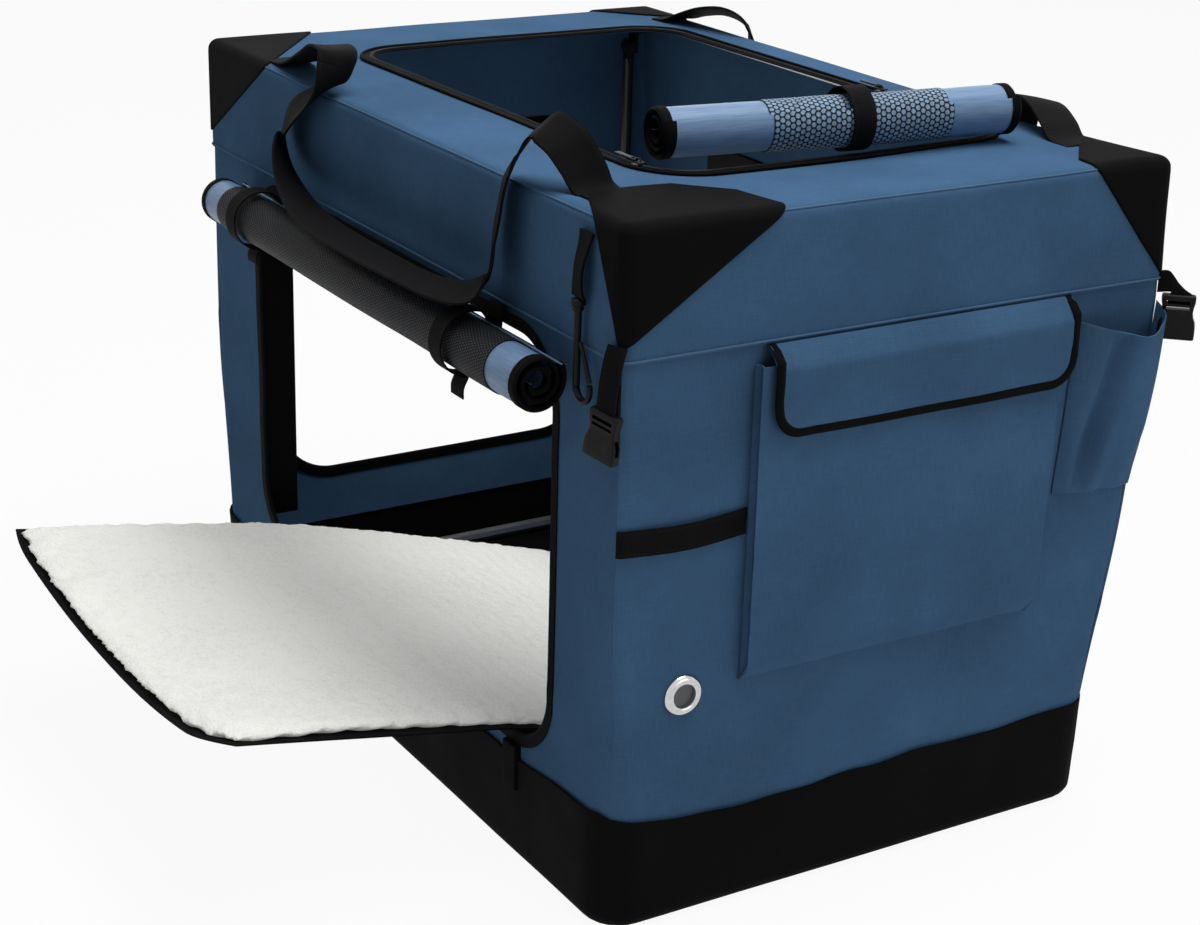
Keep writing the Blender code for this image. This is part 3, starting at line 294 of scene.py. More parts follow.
@dataclass(frozen=True)
class CoatedLining:
    """The coated reverse of the cloth: smooth, a little glossy, with fine lines."""

    color: Color
    roughness: float = 0.4
    coat: float = 0.08

    def material(self, name: str) -> bpy.types.Material:
        """Return the lining as a material."""
        graph = Graph(name)
        u, v = graph.cloth_map()
        lines = graph.noise(graph.stretched(u * 900, v * 40), 1.0)
        crease = graph.noise(graph.space(), 35.0, 3.0)
        color = graph.mix(lines.smooth(0.3, 0.7), tinted(self.color, 0.88), tinted(self.color, 1.12))
        rough = self.roughness + (crease - 0.5) * 0.2
        return graph.finish(
            Base_Color=color, Roughness=rough, Normal=graph.bump(crease + lines * 0.1, 0.6 * MM),
            Coat_Weight=self.coat, Coat_Roughness=0.3, Specular_IOR_Level=0.25,
        )


@dataclass(frozen=True)
class Webbing:
    """Heavy black strap tape, ribbed across its run, with two rows of stitching along its edges."""

    color: Color
    rib: float = 1.6 * MM
    width: float = 38 * MM
    thread_color: Color = (0.012, 0.012, 0.013)

    def material(self, name: str) -> bpy.types.Material:
        """Return the strap tape as a material."""
        graph = Graph(name)
        along, across = graph.cloth_map()
        ribs = (along * (math.pi / self.rib)).sine().absolute()
        cords = (across * (math.pi / self.rib)).sine().absolute()
        weave = ribs * 0.6 + cords * 0.4
        edge = 2.5 * MM
        side = (across - self.width / 2).absolute()
        row = 1 - (side - (self.width / 2 - edge)).absolute().smooth(0.3 * MM, 0.6 * MM)
        dash = (along * (1 / (3.2 * MM))).fraction() > 0.35
        stitch = row * dash
        dust = graph.noise(graph.space(), 60.0, 4.0)
        # Rib crowns are painted lighter and the grooves darker: painted highlight and painted shade of the
        # ribs.
        color = graph.mix(weave.smooth(0.2, 1.0), tinted(self.color, 0.6), tinted(self.color, 1.7))
        color = graph.mix(stitch, color, self.thread_color)
        return graph.finish(
            Base_Color=color, Roughness=0.72 + (dust - 0.5) * 0.2,
            Normal=graph.bump(weave + stitch * 0.6, 0.25 * MM), Specular_IOR_Level=0.04,
        )


@dataclass(frozen=True)
class Net:
    """Open net over what lies behind it: dark strands round rows of six-sided holes."""

    strand: Color
    behind: Color
    cell: float
    open_share: float = 0.45

    def material(self, name: str) -> bpy.types.Material:
        """Return the net as a material."""
        graph = Graph(name)
        u, v = graph.cloth_map()
        row = v * (1 / (self.cell * math.sqrt(0.75)))
        odd = (row * 0.5).fraction() > 0.5
        across = ((u * (1 / self.cell) + odd * 0.5).fraction() - 0.5).absolute()
        up = (row.fraction() - 0.5).absolute()
        spread = across * across + up * up * 0.75
        edge = 0.25 * self.open_share
        hole = 1 - spread.smooth(edge * 0.5, edge)
        glint = graph.noise(graph.space(), 400.0)
        seen = graph.mix(glint, tinted(self.behind, 0.4), tinted(self.behind, 1.4))
        color = graph.mix(hole, self.strand, seen)
        return graph.finish(
            Base_Color=color, Roughness=0.55, Normal=graph.bump(1 - hole, 0.5 * MM), Specular_IOR_Level=0.1
        )


@dataclass(frozen=True)
class FleecePile:
    """Short curly fleece: clumps of fibres over a pale ground, with a faint painted glow."""

    color: Color

    def material(self, name: str) -> bpy.types.Material:
        """Return the fleece as a material."""
        graph = Graph(name)
        place = graph.space()
        curls = graph.cells(place, 420.0)
        fibres = graph.noise(place, 1500.0, 3.0)
        tufts = graph.noise(place, 110.0, 3.0)
        patch = graph.noise(place, 7.0, 2.0)
        height = (1 - curls) * 0.6 + fibres * 0.4 + tufts * 0.8
        # The pile is painted darker where it is low between the curls, which is painted shade in the
        # crevices; the patch noise is random tone.
        tone = height * 0.5 + patch * 0.35
        color = graph.mix(tone.smooth(0.25, 0.95), tinted(self.color, 0.84), tinted(self.color, 1.06))
        # The emission makes the pile glow faintly in its own colour: painted light that brightens the pad.
        return graph.finish(
            Base_Color=color, Roughness=0.95, Normal=graph.bump(height, 1.2 * MM, 0.9), Sheen_Weight=0.2,
            Sheen_Roughness=0.6, Specular_IOR_Level=0.2, Emission_Color=color, Emission_Strength=0.17,
        )


@dataclass(frozen=True)
class MouldedPlastic:
    """Satin moulded plastic with a fine spark texture and worn, paler high spots."""

    color: Color
    roughness: float = 0.42

    def material(self, name: str) -> bpy.types.Material:
        """Return the plastic as a material."""
        graph = Graph(name)
        grain = graph.noise(graph.space(), 1800.0, 2.0)
        wear = graph.noise(graph.space(), 90.0, 4.0)
        color = graph.mix(wear.smooth(0.55, 0.8), self.color, tinted(self.color, 2.4))
        return graph.finish(
            Base_Color=color, Roughness=self.roughness + (wear - 0.5) * 0.25,
            Normal=graph.bump(grain, 0.05 * MM), Specular_IOR_Level=0.12,
        )


@dataclass(frozen=True)
class CoatedSteel:
    """Bare or coated metal with fine handling marks."""

    color: Color
    roughness: float
    metallic: float = 1.0

    def material(self, name: str) -> bpy.types.Material:
        """Return the metal as a material."""
        graph = Graph(name)
        marks = graph.noise(graph.space(), 250.0, 4.0)
        tone = graph.mix(marks.smooth(0.35, 0.7), tinted(self.color, 0.9), self.color)
        return graph.finish(
            Base_Color=tone, Metallic=self.metallic, Roughness=self.roughness + (marks - 0.5) * 0.12,
            Normal=graph.bump(marks, 0.03 * MM),
        )


def spot(*sizes: float) -> Vector:
    """Return a point from its millimetres."""
    return Vector(size * MM for size in sizes)


def lump(*place: float) -> float:
    """Return soft noise from -1 to 1 at a place."""
    return noise.noise(Vector(place))


def ramp(value: float, low: float, high: float) -> float:
    """Return how far a value has come from low to high, from 0 to 1."""
    return min(max((value - low) / (high - low), 0.0), 1.0)


def only(piece: Piece) -> None:
    """Select one piece and make it active."""
    bpy.ops.object.select_all(action="DESELECT")
    piece.select_set(True)
    bpy.context.view_layer.objects.active = piece


@contextmanager
def editing(piece: Piece, select: str = "DESELECT") -> Iterator[None]:
    """Open a piece in edit mode with nothing or everything selected, and close it again."""
    only(piece)
    bpy.ops.object.mode_set(mode="EDIT")
    bpy.ops.mesh.select_all(action=select)
    yield
    bpy.ops.object.mode_set(mode="OBJECT")


def modify(piece: Piece, kind: str, **settings: object) -> None:
    """Add a modifier with its settings and apply it."""
    only(piece)
    modifier = piece.modifiers.new(kind.title(), kind)
    for name, value in settings.items():
        setattr(modifier, name, value)
    bpy.ops.object.modifier_apply(modifier=modifier.name)


def named(name: str) -> Piece:
    """Return the object that an operator has just made, under its own name."""
    piece = bpy.context.object
    piece.name = piece.data.name = name
    return piece


def shape(piece: Piece, move: Callable[[Vector], Vector]) -> Piece:
    """Move each point of a piece to where a function puts it."""
    for vertex in piece.data.vertices:
        vertex.co = move(vertex.co.copy())
    return piece


def subdivide(piece: Piece, levels: int) -> None:
    """Divide the faces of a piece and leave its shape."""
    modify(piece, "SUBSURF", levels=levels, render_levels=levels, subdivision_type="SIMPLE")


def weld(piece: Piece) -> Piece:
    """Merge the points that lie together."""
    with editing(piece, "SELECT"):
        bpy.ops.mesh.remove_doubles(threshold=WELD_DISTANCE)
    return piece


def turn_over(piece: Piece) -> None:
    """Make the faces of a piece face the other way."""
    with editing(piece, "SELECT"):
        bpy.ops.mesh.flip_normals()


def faced(piece: Piece, middle: Vector) -> Piece:
    """Turn an open sheet so that it faces away from a middle point."""
    if sum(face.area * face.normal.dot(face.center - middle) for face in piece.data.polygons) < 0:
        turn_over(piece)
    return piece


def cloth(
    name: str, place: Place, columns: int, rows: int, size: tuple[float, float], joined: bool = False,
    middle: Vector = Vector((0, 0, 0.3)),
) -> Piece:
    """Make a sheet of cloth from a grid whose points a function places.

    Args:
        name: the piece's name.
        place: gives the place for two shares from 0 to 1.
        columns: faces along the first share.
        rows: faces along the second share.
        size: the cloth's width and length in metres, which its map is written in.
        joined: whether edges that meet are sewn together.
        middle: the point that the sheet faces away from.

    Returns:
        The open sheet.
    """
    bpy.ops.mesh.primitive_grid_add(x_subdivisions=columns, y_subdivisions=rows, size=1, location=(0, 0, 0))
    piece = named(name)
    layer = piece.data.uv_layers[0]
    layer.name = CLOTH_MAP
    for corner in layer.data:
        corner.uv = (corner.uv.x * size[0], corner.uv.y * size[1])
    shape(piece, lambda co: place(co.x + 0.5, co.y + 0.5))
    if joined:
        weld(piece)
    return faced(piece, middle)


def thicken(
    piece: Piece, thickness: float, offset: float = -1.0, bevel: float = 0.0, lined: bool = False
) -> Piece:
    """Give a sheet its thickness.

    Args:
        piece: the sheet.
        thickness: how thick it becomes.
        offset: 1 to grow outwards, -1 inwards, 0 both ways.
        bevel: how much its rim is rounded.
        lined: whether the inner side takes the piece's second material.

    Returns:
        The same piece.
    """
    modify(
        piece, "SOLIDIFY", thickness=thickness, offset=offset, use_even_offset=False,
        material_offset=int(lined), material_offset_rim=0,
    )
    if bevel:
        modify(piece, "BEVEL", width=bevel, segments=2, limit_method="ANGLE", angle_limit=math.radians(50))
    return piece


def smooth_points(points: Sequence[Vector], steps: int) -> list[Vector]:
    """Return the points of a smooth curve through a few chosen ones."""
    padded = [2 * points[0] - points[1], *points, 2 * points[-1] - points[-2]]
    result = []
    for a, b, c, d in zip(padded, padded[1:], padded[2:], padded[3:]):
        for i in range(steps):
            t = i / steps
            cubic = (3 * b - a - 3 * c + d) * t**3
            result.append(0.5 * (2 * b + (c - a) * t + (2 * a - 5 * b + 4 * c - d) * t**2 + cubic))
    return [*result, points[-1].copy()]


def length_of(points: Sequence[Vector]) -> float:
    """Return how long a line through points is."""
    return sum((b - a).length for a, b in zip(points, points[1:]))


def ribbon(
    name: str, points: Sequence[Vector], sides: Sequence[Vector], width: float, thickness: float,
    crown: float = 0.0, across: int = 6,
) -> Piece:
    """Make flat tape along a line.

    Args:
        name: the piece's name.
        points: the middle of the tape.
        sides: the width direction at each point.
        width: the tape's width.
        thickness: the tape's thickness.
        crown: how far its middle stands off its edges.
        across: faces over its width.

    Returns:
        The closed tape, with its map along and across it.
    """
    run = length_of(points)

    def place(s: float, t: float) -> Vector:
        i = round(s * (len(points) - 1))
        step = points[min(i + 1, len(points) - 1)] - points[max(i - 1, 0)]
        lift = step.cross(sides[i]).normalized() * crown * (1 - (2 * t - 1) ** 2)
        return points[i] + sides[i] * (t - 0.5) * width + lift

    tape = cloth(name, place, len(points) - 1, across, (run, width))
    return thicken(tape, thickness, 0.0, bevel=min(0.3 * thickness, 0.4 * MM))


def tube(
    name: str, points: Sequence[Vector], radius: float, closed: bool = False, sides: int = 3,
    radii: Sequence[float] = (),
) -> Piece:
    """Make a round bar along points, each of which may have its own share of the radius."""
    curve = bpy.data.curves.new(name, "CURVE")
    curve.dimensions = "3D"
    curve.bevel_depth = radius
    curve.bevel_resolution = sides
    curve.use_fill_caps = not closed
    spline = curve.splines.new("POLY")
    spline.points.add(len(points) - 1)
    for i, point in enumerate(points):
        spline.points[i].co = (*point, 1)
        spline.points[i].radius = radii[i] if radii else 1.0
    spline.use_cyclic_u = closed
    bar = bpy.data.objects.new(name, curve)
    bpy.context.collection.objects.link(bar)
    only(bar)
    bpy.ops.object.convert(target="MESH")
    return weld(named(name))


def bar_box(
    name: str, low: Sequence[float], high: Sequence[float], bevel: float, frame: Matrix = Matrix(),
) -> Piece:
    """Make a block between two corners of a frame, with rounded edges."""
    low, high = Vector(low), Vector(high)
    bpy.ops.mesh.primitive_cube_add(size=1, location=(0, 0, 0))
    block = named(name)
    size = high - low
    shape(block, lambda co: Vector(a * b for a, b in zip(co, size)) + (low + high) / 2)
    modify(block, "BEVEL", width=bevel, segments=3, limit_method="NONE")
    return shape(block, lambda co: frame @ co)


def turned(name: str, profile: Sequence[tuple[float, float]], frame: Matrix, steps: int) -> Piece:
    """Make a turned piece from its (radius, height) profile in millimetres, round a frame's Z axis."""
    bpy.ops.mesh.primitive_circle_add(vertices=steps, radius=1, fill_type="NOTHING", location=(0, 0, 0))
    piece = named(name)
    with editing(piece, "SELECT"):
        for row, (radius, height) in enumerate(profile):
            if row:
                bpy.ops.mesh.extrude_region_move()
            bm = bmesh.from_edit_mesh(piece.data)
            for vertex in (v for v in bm.verts if v.select):
                angle = math.atan2(vertex.co.y, vertex.co.x)
                vertex.co = (radius * MM * math.cos(angle), radius * MM * math.sin(angle), height * MM)
            bmesh.update_edit_mesh(piece.data)
        bpy.ops.mesh.select_all(action="SELECT")
        bpy.ops.mesh.remove_doubles(threshold=0.02 * MM)
        bpy.ops.mesh.select_all(action="DESELECT")
        bpy.ops.mesh.select_non_manifold()
        if piece.data.total_edge_sel:
            bpy.ops.mesh.fill()
        bpy.ops.mesh.select_all(action="SELECT")
        bpy.ops.mesh.normals_make_consistent(inside=False)
    return shape(piece, lambda co: frame @ co)


def joined(name: str, pieces: Sequence[Piece]) -> Piece:
    """Join loose pieces into one object."""
    only(pieces[0])
    for piece in pieces[1:]:
        piece.select_set(True)
    bpy.ops.object.join()
    return named(name)


def cut(piece: Piece, tool: Piece) -> None:
    """Cut a tool's shape out of a piece and delete the tool."""
    modify(piece, "BOOLEAN", operation="DIFFERENCE", object=tool)
    bpy.data.objects.remove(tool)


def stitches(
    name: str, points: Sequence[Vector], normal: Vector, pitch: float = 3.6 * MM, girth: float = 0.35 * MM,
    fill: float = 0.7,
) -> Piece:
    """Make a row of stitches along a line on a surface that faces one way.

    Args:
        name: the piece's name.
        points: the line.
        normal: the direction that the surface faces.
        pitch: from one stitch to the next.
        girth: half the thread's thickness.
        fill: how much of the pitch a stitch takes up.

    Returns:
        The stitches as one piece.
    """
    count = max(2, int(length_of(points) / pitch))
    dashes = bmesh.new()
    for k in range(count):
        place = (k + 0.5) / count * (len(points) - 1)
        i = int(place)
        middle = points[i].lerp(points[i + 1], place - i)
        step = (points[i + 1] - points[i]).normalized()
        frame = Matrix((step, normal.cross(step).normalized(), normal)).transposed().to_4x4()
        made = bmesh.ops.create_icosphere(dashes, subdivisions=1, radius=1.0)
        size = Matrix.Diagonal((pitch * fill / 2, girth, girth, 1))
        bmesh.ops.transform(dashes, matrix=Matrix.Translation(middle) @ frame @ size, verts=made["verts"])
    mesh = bpy.data.meshes.new(name)
    dashes.to_mesh(mesh)
    dashes.free()
    piece = bpy.data.objects.new(name, mesh)
    bpy.context.collection.objects.link(piece)
    return piece


@dataclass
class Wardrobe:
    """The finishes, and the dressing that every piece goes through."""

    frame: dict
    made: dict[str, bpy.types.Material] = field(default_factory=dict)

    def add(self, name: str, finish: object) -> None:
        """Make a finish's material under a name."""
        self.made[name] = finish.material(name)

    def dress(
        self, piece: Piece, finish: str, body: str, *nodes: str, slot: str = "", inner: str = "",
        angle: float = 40.0,
    ) -> None:
        """Give a piece its finish, its body and the nodes that it stands for.

        Args:
            piece: the finished mesh.
            finish: the name of its material.
            body: the body that it rides on, which also says whether the piece gets a mesh of its own.
            nodes: the nodes that it replaces.
            slot: the record's material slot, where it isn't the finish's usual one; it is not used.
            inner: the material of its inner side, if it is lined.
            angle: edges sharper than this stay sharp.
        """
        for material in (finish, inner):
            if material and len(piece.data.materials) < 1 + bool(inner):
                piece.data.materials.append(self.made[material])
        only(piece)
        bpy.ops.object.shade_smooth_by_angle(angle=math.radians(angle))
        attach(piece, body)
        slot or SLOTS.get(finish, finish)
        if nodes:
            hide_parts(*nodes)
        fold = FOLDS.get(body)
        if fold is Fold.WITH_BASE:
            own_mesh(piece)
        if fold is Fold.WITH_TOP:
            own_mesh(piece)
        LOG.info("%s: %d faces on %s", piece.name, len(piece.data.polygons), body)


@dataclass(frozen=True)
class Shell:
    """The crate's outer form, which every cloth piece is laid out on."""

    half_x: float
    half_y: float
    height: float
    corner: float = 35 * MM
    fold: float = 9 * MM
    fold_heights: tuple[float, float] = (60 * MM, 300 * MM)
    band_seam: float = 494.7 * MM
    base_seam: float = 100 * MM
    lean: float = 25 * MM
    lean_starts: tuple[float, float] = (60 * MM, 170 * MM)
    lean_heights: tuple[float, float] = (40 * MM, 480 * MM)
    lean_back_heights: tuple[float, float] = (500 * MM, 600 * MM)

    def straight(self, side: Side) -> float:
        """Return how far a wall runs straight from its middle."""
        return (self.half_x if side.value % 2 == 0 else self.half_y) - self.corner

    def reach(self, side: Side) -> float:
        """Return how far a wall runs from its middle to its corner seam."""
        return self.straight(side) + self.corner * math.pi / 4

    def point(self, side: Side, u: float, z: float, lift: float = 0.0) -> Vector:
        """Return the place u along a wall from its middle, at a height and a distance off the wall."""
        across = self.half_y if side.value % 2 == 0 else self.half_x
        straight = self.straight(side)
        if abs(u) <= straight:
            return side.along * u + side.outward * (across + lift) + Z * z
        sign = math.copysign(1, u)
        angle = (abs(u) - straight) / self.corner
        turn = side.outward * math.cos(angle) + side.along * (sign * math.sin(angle))
        middle = side.along * (sign * straight) + side.outward * (across - self.corner)
        return middle + turn * (self.corner_reach(angle, z) + lift) + Z * z

    def corner_reach(self, angle: float, z: float) -> float:
        """Return how far the cloth stands off the middle of a corner's arc, which is a sharp fold high up."""
        tall = ramp(z, *self.fold_heights)
        radius = self.corner + (self.fold - self.corner) * tall * tall * (3 - 2 * tall)
        gap = self.corner - radius
        level, across = math.cos(angle), math.sin(angle)
        tangent = math.atan2(gap, self.corner)
        if tangent <= angle <= math.pi / 2 - tangent:
            return gap * (level + across) + math.sqrt(max(0.0, radius**2 - (gap * (level - across)) ** 2))
        return self.corner / max(level, across)

    def leaning(self, point: Vector) -> Vector:
        """Return a point moved with the front right corner, which the soft cover lets lean outwards."""
        near = ramp(-point.y, self.lean_starts[1], self.half_y)
        right = ramp(point.x, self.lean_starts[0], self.half_x)
        tall = ramp(point.z, *self.lean_heights) - 0.15 * ramp(point.z, *self.lean_back_heights)
        return point + (X - Y * 0.12) * (self.lean * near**2 * right**2 * tall)

    def around(self, share: float) -> tuple[Side, float]:
        """Return the wall and the place along it for a share of the whole way round."""
        lengths = [2 * self.reach(side) for side in Side]
        rest = (share % 1.0) * sum(lengths)
        for side, run in zip(Side, lengths):
            if rest <= run:
                return side, rest - run / 2
            rest -= run
        return Side.LEFT, lengths[-1] / 2

    @property
    def girth(self) -> float:
        """Return the whole way round."""
        return sum(2 * self.reach(side) for side in Side)

    def wave(self, side: Side, u: float, z: float) -> float:
        """Return how far the soft walls stand in or out of their plane."""
        tall = (z - self.base_seam) / (self.band_seam - self.base_seam)
        hold = max(0.0, 1 - (2 * tall - 1) ** 4) if 0 <= tall <= 1 else 0.0
        swell = lump(u * 5.0, z * 3.4, side.value * 7.3)
        folds = lump(u * 19.0, z * 4.0, side.value * 3.1 + 40)
        crease = 1 - 2 * abs(lump(u * 9 + z * 7, z * 5 - u * 3, side.value * 5.0))
        return (swell * 3.0 + folds * 0.8 + max(0.0, crease - 0.72) * 2.2) * hold * MM

    def top_wave(self, x: float, y: float) -> float:
        """Return how far the soft top stands up or down."""
        return lump(x * 7, y * 6, 3.7) * 1.5 * MM


def outline(
    share: float, half_x: float, half_y: float, radius: float, centre: tuple[float, float] = (0.0, 0.0),
    square: bool = False,
) -> tuple[float, float]:
    """Return a point of a rounded rectangle, for shares that keep its corners together.

    Args:
        share: the way round from the middle of the +X side, anticlockwise.
        half_x: half its width.
        half_y: half its height.
        radius: the radius of its corners.
        centre: its middle.
        square: whether its corners are left square.

    Returns:
        The point's two coordinates.
    """
    straight = 0.35
    quarter, rest = divmod((share % 1.0) * 4, 1.0)
    a, b = ((half_x, half_y), (half_y, half_x))[int(quarter) % 2]
    if rest < straight:
        x, y = a, (b - radius) * rest / straight
    elif rest > 1 - straight:
        x, y = (a - radius) * (1 - rest) / straight, b
    else:
        turn = (rest - straight) / (1 - 2 * straight)
        if square:
            x = a - radius * max(0.0, 2 * turn - 1)
            y = b - radius * max(0.0, 1 - 2 * turn)
        else:
            x = a - radius + radius * math.cos(turn * math.pi / 2)
            y = b - radius + radius * math.sin(turn * math.pi / 2)
    for _ in range(int(quarter)):
        x, y = -y, x
    return centre[0] + x, centre[1] + y


@dataclass(frozen=True)
class PatchCut:
    """One corner patch in millimetres: its lowest tip, and its boundary over the top from front or rear."""

    tag: str
    sign_x: int
    sign_y: int
    tip: float
    bounds: tuple[tuple[float, float], ...]


@dataclass
class TopCover:
    """The blue top with its band, the zipped opening and the black corner patches."""

    shell: Shell
    wardrobe: Wardrobe
    edge: float = 9 * MM
    side_end: float = 0.35
    edge_end: float = 0.5
    cloth_thickness: float = 1.3 * MM
    centre: tuple[float, float] = (25 * MM, 0.0)
    half: tuple[float, float] = (175 * MM, 280 * MM)
    radius: float = 45 * MM
    tape: float = 12 * MM
    patches: tuple[PatchCut, ...] = (
        PatchCut(
            "front_left", -1, -1, 505, ((-113, -400), (-121, -342), (-160, -306), (-232, -300), (-260, -358))
        ),
        PatchCut("front_right", 1, -1, 498, ((196, -400), (199, -376), (262, -308))),
        PatchCut("rear_left", -1, 1, 506, ((-145, 400), (-260, 252))),
        PatchCut("rear_right", 1, 1, 502, ((180, 400), (260, 312))),
    )

    def rim(self, share: float, inset: float, z: float) -> Vector:
        """Return a point of the cover's outline, drawn in by an inset."""
        shell = self.shell
        radius = max(shell.fold + 1 * MM - inset, 2.5 * MM)
        x, y = outline(share, shell.half_x - inset, shell.half_y - inset, radius)
        return shell.leaning(Vector((x, y, z)))

    def hole(self, share: float, grow: float, lift: float = 0.0) -> Vector:
        """Return a point of the opening's outline, grown by a distance."""
        x, y = outline(share, self.half[0] + grow, self.half[1] + grow, self.radius + grow, self.centre)
        return Vector((x, y, self.shell.height + self.shell.top_wave(x, y) + lift))

    def surface(self, share: float, depth: float) -> Vector:
        """Return the cover's outer surface: depth 0 at the band's hem, 1 at the opening."""
        shell = self.shell
        if depth < self.side_end:
            rise = (shell.height - self.edge - shell.band_seam) * depth / self.side_end
            return self.swell(self.rim(share, 0.0, shell.band_seam - 1.5 * MM + rise))
        if depth < self.edge_end:
            angle = (depth - self.side_end) / (self.edge_end - self.side_end) * math.pi / 2
            inset = self.edge * (1 - math.cos(angle))
            return self.swell(self.rim(share, inset, shell.height - self.edge * (1 - math.sin(angle))))
        start = self.rim(share, self.edge, shell.height)
        return self.swell(start.lerp(self.hole(share, 0.0), (depth - self.edge_end) / (1 - self.edge_end)))

    def swell(self, point: Vector) -> Vector:
        """Return a point moved by the soft cover's unevenness."""
        shell = self.shell
        side = Vector((point.x / shell.half_x, point.y / shell.half_y))
        out = X * math.copysign(1, side.x) if abs(side.x) > abs(side.y) else Y * math.copysign(1, side.y)
        low = (point.z - shell.band_seam) / (shell.height - shell.band_seam)
        if max(abs(side.x), abs(side.y)) > 1 - 1e-4:
            bulge = lump(point.x * 6, point.y * 6, point.z * 9 + 11)
            return point + out * bulge * 1.8 * MM * math.sin(math.pi * min(low, 1.0))
        rise = shell.top_wave(point.x, point.y)
        return Vector((point.x, point.y, min(point.z + rise, shell.height + 2 * MM))) if low > 0.9 else point

    def build(self) -> None:
        """Make the cover, its opening's trim and its patches."""
        self.make_cover()
        self.make_trim()
        for patch in self.patches:
            self.make_patch(patch)

    def skin(self, name: str) -> Piece:
        """Return the cover's open outer surface."""
        return cloth(
            name, self.surface, 256, 40, (self.shell.girth, 0.34), joined=True, middle=Vector((0, 0, 0.4))
        )

    def make_cover(self) -> None:
        """Make the blue cover and the raised seams of its band and its top edge."""
        cover = thicken(self.skin("crate_top"), self.cloth_thickness, bevel=0.4 * MM, lined=True)
        # Its inner side takes the lining painted near black as the shade inside the crate.
        self.wardrobe.dress(cover, "blue_cloth", "top_frame", "top_cover", inner="lining_in_painted_shade")
        rows = 420
        seams = (("band", 0.008, 0.2 * MM, 1.1 * MM), ("edge", 0.425, 0.1 * MM, 0.9 * MM))
        for tag, depth, lift, girth in seams:
            line = [self.surface(i / rows, depth) + self.outward(i / rows) * lift for i in range(rows)]
            self.wardrobe.dress(tube(f"top_{tag}_seam", line, girth, closed=True), "blue_seam", "top_frame")

    def outward(self, share: float) -> Vector:
        """Return the level direction out of the cover at a share of the way round."""
        step = self.rim(share + 1e-3, 0, 0) - self.rim(share - 1e-3, 0, 0)
        return step.cross(Z).normalized()

    def make_trim(self) -> None:
        """Make the tape round the opening, its piping and the zip's coil."""
        under = 1.5 * MM

        def tape(s: float, t: float) -> Vector:
            crown = math.sin(math.pi * t)
            return self.hole(s, -under + (self.tape + under) * t, 0.5 * MM + 1.1 * MM * crown)

        run = 4 * (self.half[0] + self.half[1])
        flat = cloth("opening_tape", tape, 240, 8, (run, self.tape), joined=True)
        thicken(flat, 1.1 * MM, bevel=0.3 * MM)
        self.wardrobe.dress(flat, "black_tape", "top_frame", "top_binding")
        edge = [self.hole(i / 200, self.tape, 1.4 * MM) for i in range(200)]
        self.wardrobe.dress(tube("opening_piping", edge, 1.6 * MM, closed=True), "black_tape", "top_frame")
        for tag, grow in (("inner", 1.6 * MM), ("outer", 3.4 * MM)):
            points = [self.hole(i / 480, grow, 1.9 * MM) for i in range(481)]
            coil = stitches(f"zip_coil_{tag}", points, Z, pitch=2.4 * MM, girth=0.75 * MM, fill=0.8)
            self.wardrobe.dress(coil, "zip_coil", "top_frame")

    def make_patch(self, cut_out: PatchCut) -> None:
        """Make one corner patch: the cover's own surface inside its boundary, padded, with a raised hem."""
        shell = self.shell
        patch = self.skin(f"patch_{cut_out.tag}")
        across, back = cut_out.sign_x * shell.half_x, cut_out.sign_y * shell.half_y
        corner = shell.leaning(Vector((across, back, shell.height)))
        bounds = [Vector((x * MM, y * MM, shell.height)) for x, y in cut_out.bounds]
        tip = Vector((corner.x, corner.y, cut_out.tip * MM))
        runs = list(zip(bounds, bounds[1:]))
        planes = [(a, (b - a).cross(tip - a)) for a, b in (runs[0], runs[-1])]
        planes += [(a, (b - a).cross(Z)) for a, b in runs[1:-1]]
        subdivide(patch, 1)
        for point, normal in planes:
            outward = normal if normal.dot(corner - point) < 0 else -normal
            with editing(patch, "SELECT"):
                bpy.ops.mesh.bisect(plane_co=point, plane_no=outward.normalized(), clear_outer=True)
        weld(patch)
        normals = [vertex.normal.copy() for vertex in patch.data.vertices]
        for vertex, normal in zip(patch.data.vertices, normals):
            vertex.co += normal * 0.5 * MM
        lines = self.edge_lines(patch)
        hem = [tube(f"hem_{cut_out.tag}_{i}", line, 1.35 * MM, closed=True) for i, line in enumerate(lines)]
        thicken(patch, 1.4 * MM, 1, bevel=0.3 * MM)
        whole = joined(f"patch_{cut_out.tag}", [patch, *hem])
        self.wardrobe.dress(whole, "black_cloth", "top_frame", f"corner_patch_{cut_out.tag}")

    def edge_lines(self, piece: Piece) -> list[list[Vector]]:
        """Return the closed lines that an open sheet ends on."""
        ends: dict[int, list[int]] = {}
        uses = Counter(pair for face in piece.data.polygons for pair in face.edge_keys)
        for (a, b), count in uses.items():
            if count == 1:
                ends.setdefault(a, []).append(b)
                ends.setdefault(b, []).append(a)
        lines, shortest = [], 12
        while ends:
            here = next(iter(ends))
            chain = [here]
            while ends.get(here):
                there = ends[here].pop()
                ends[there].remove(here)
                if not ends[here]:
                    del ends[here]
                here = there
                chain.append(here)
            ends.pop(here, None)
            if len(chain) > shortest:
                lines.append([piece.data.vertices[i].co.copy() for i in chain[:-1]])
        return lines


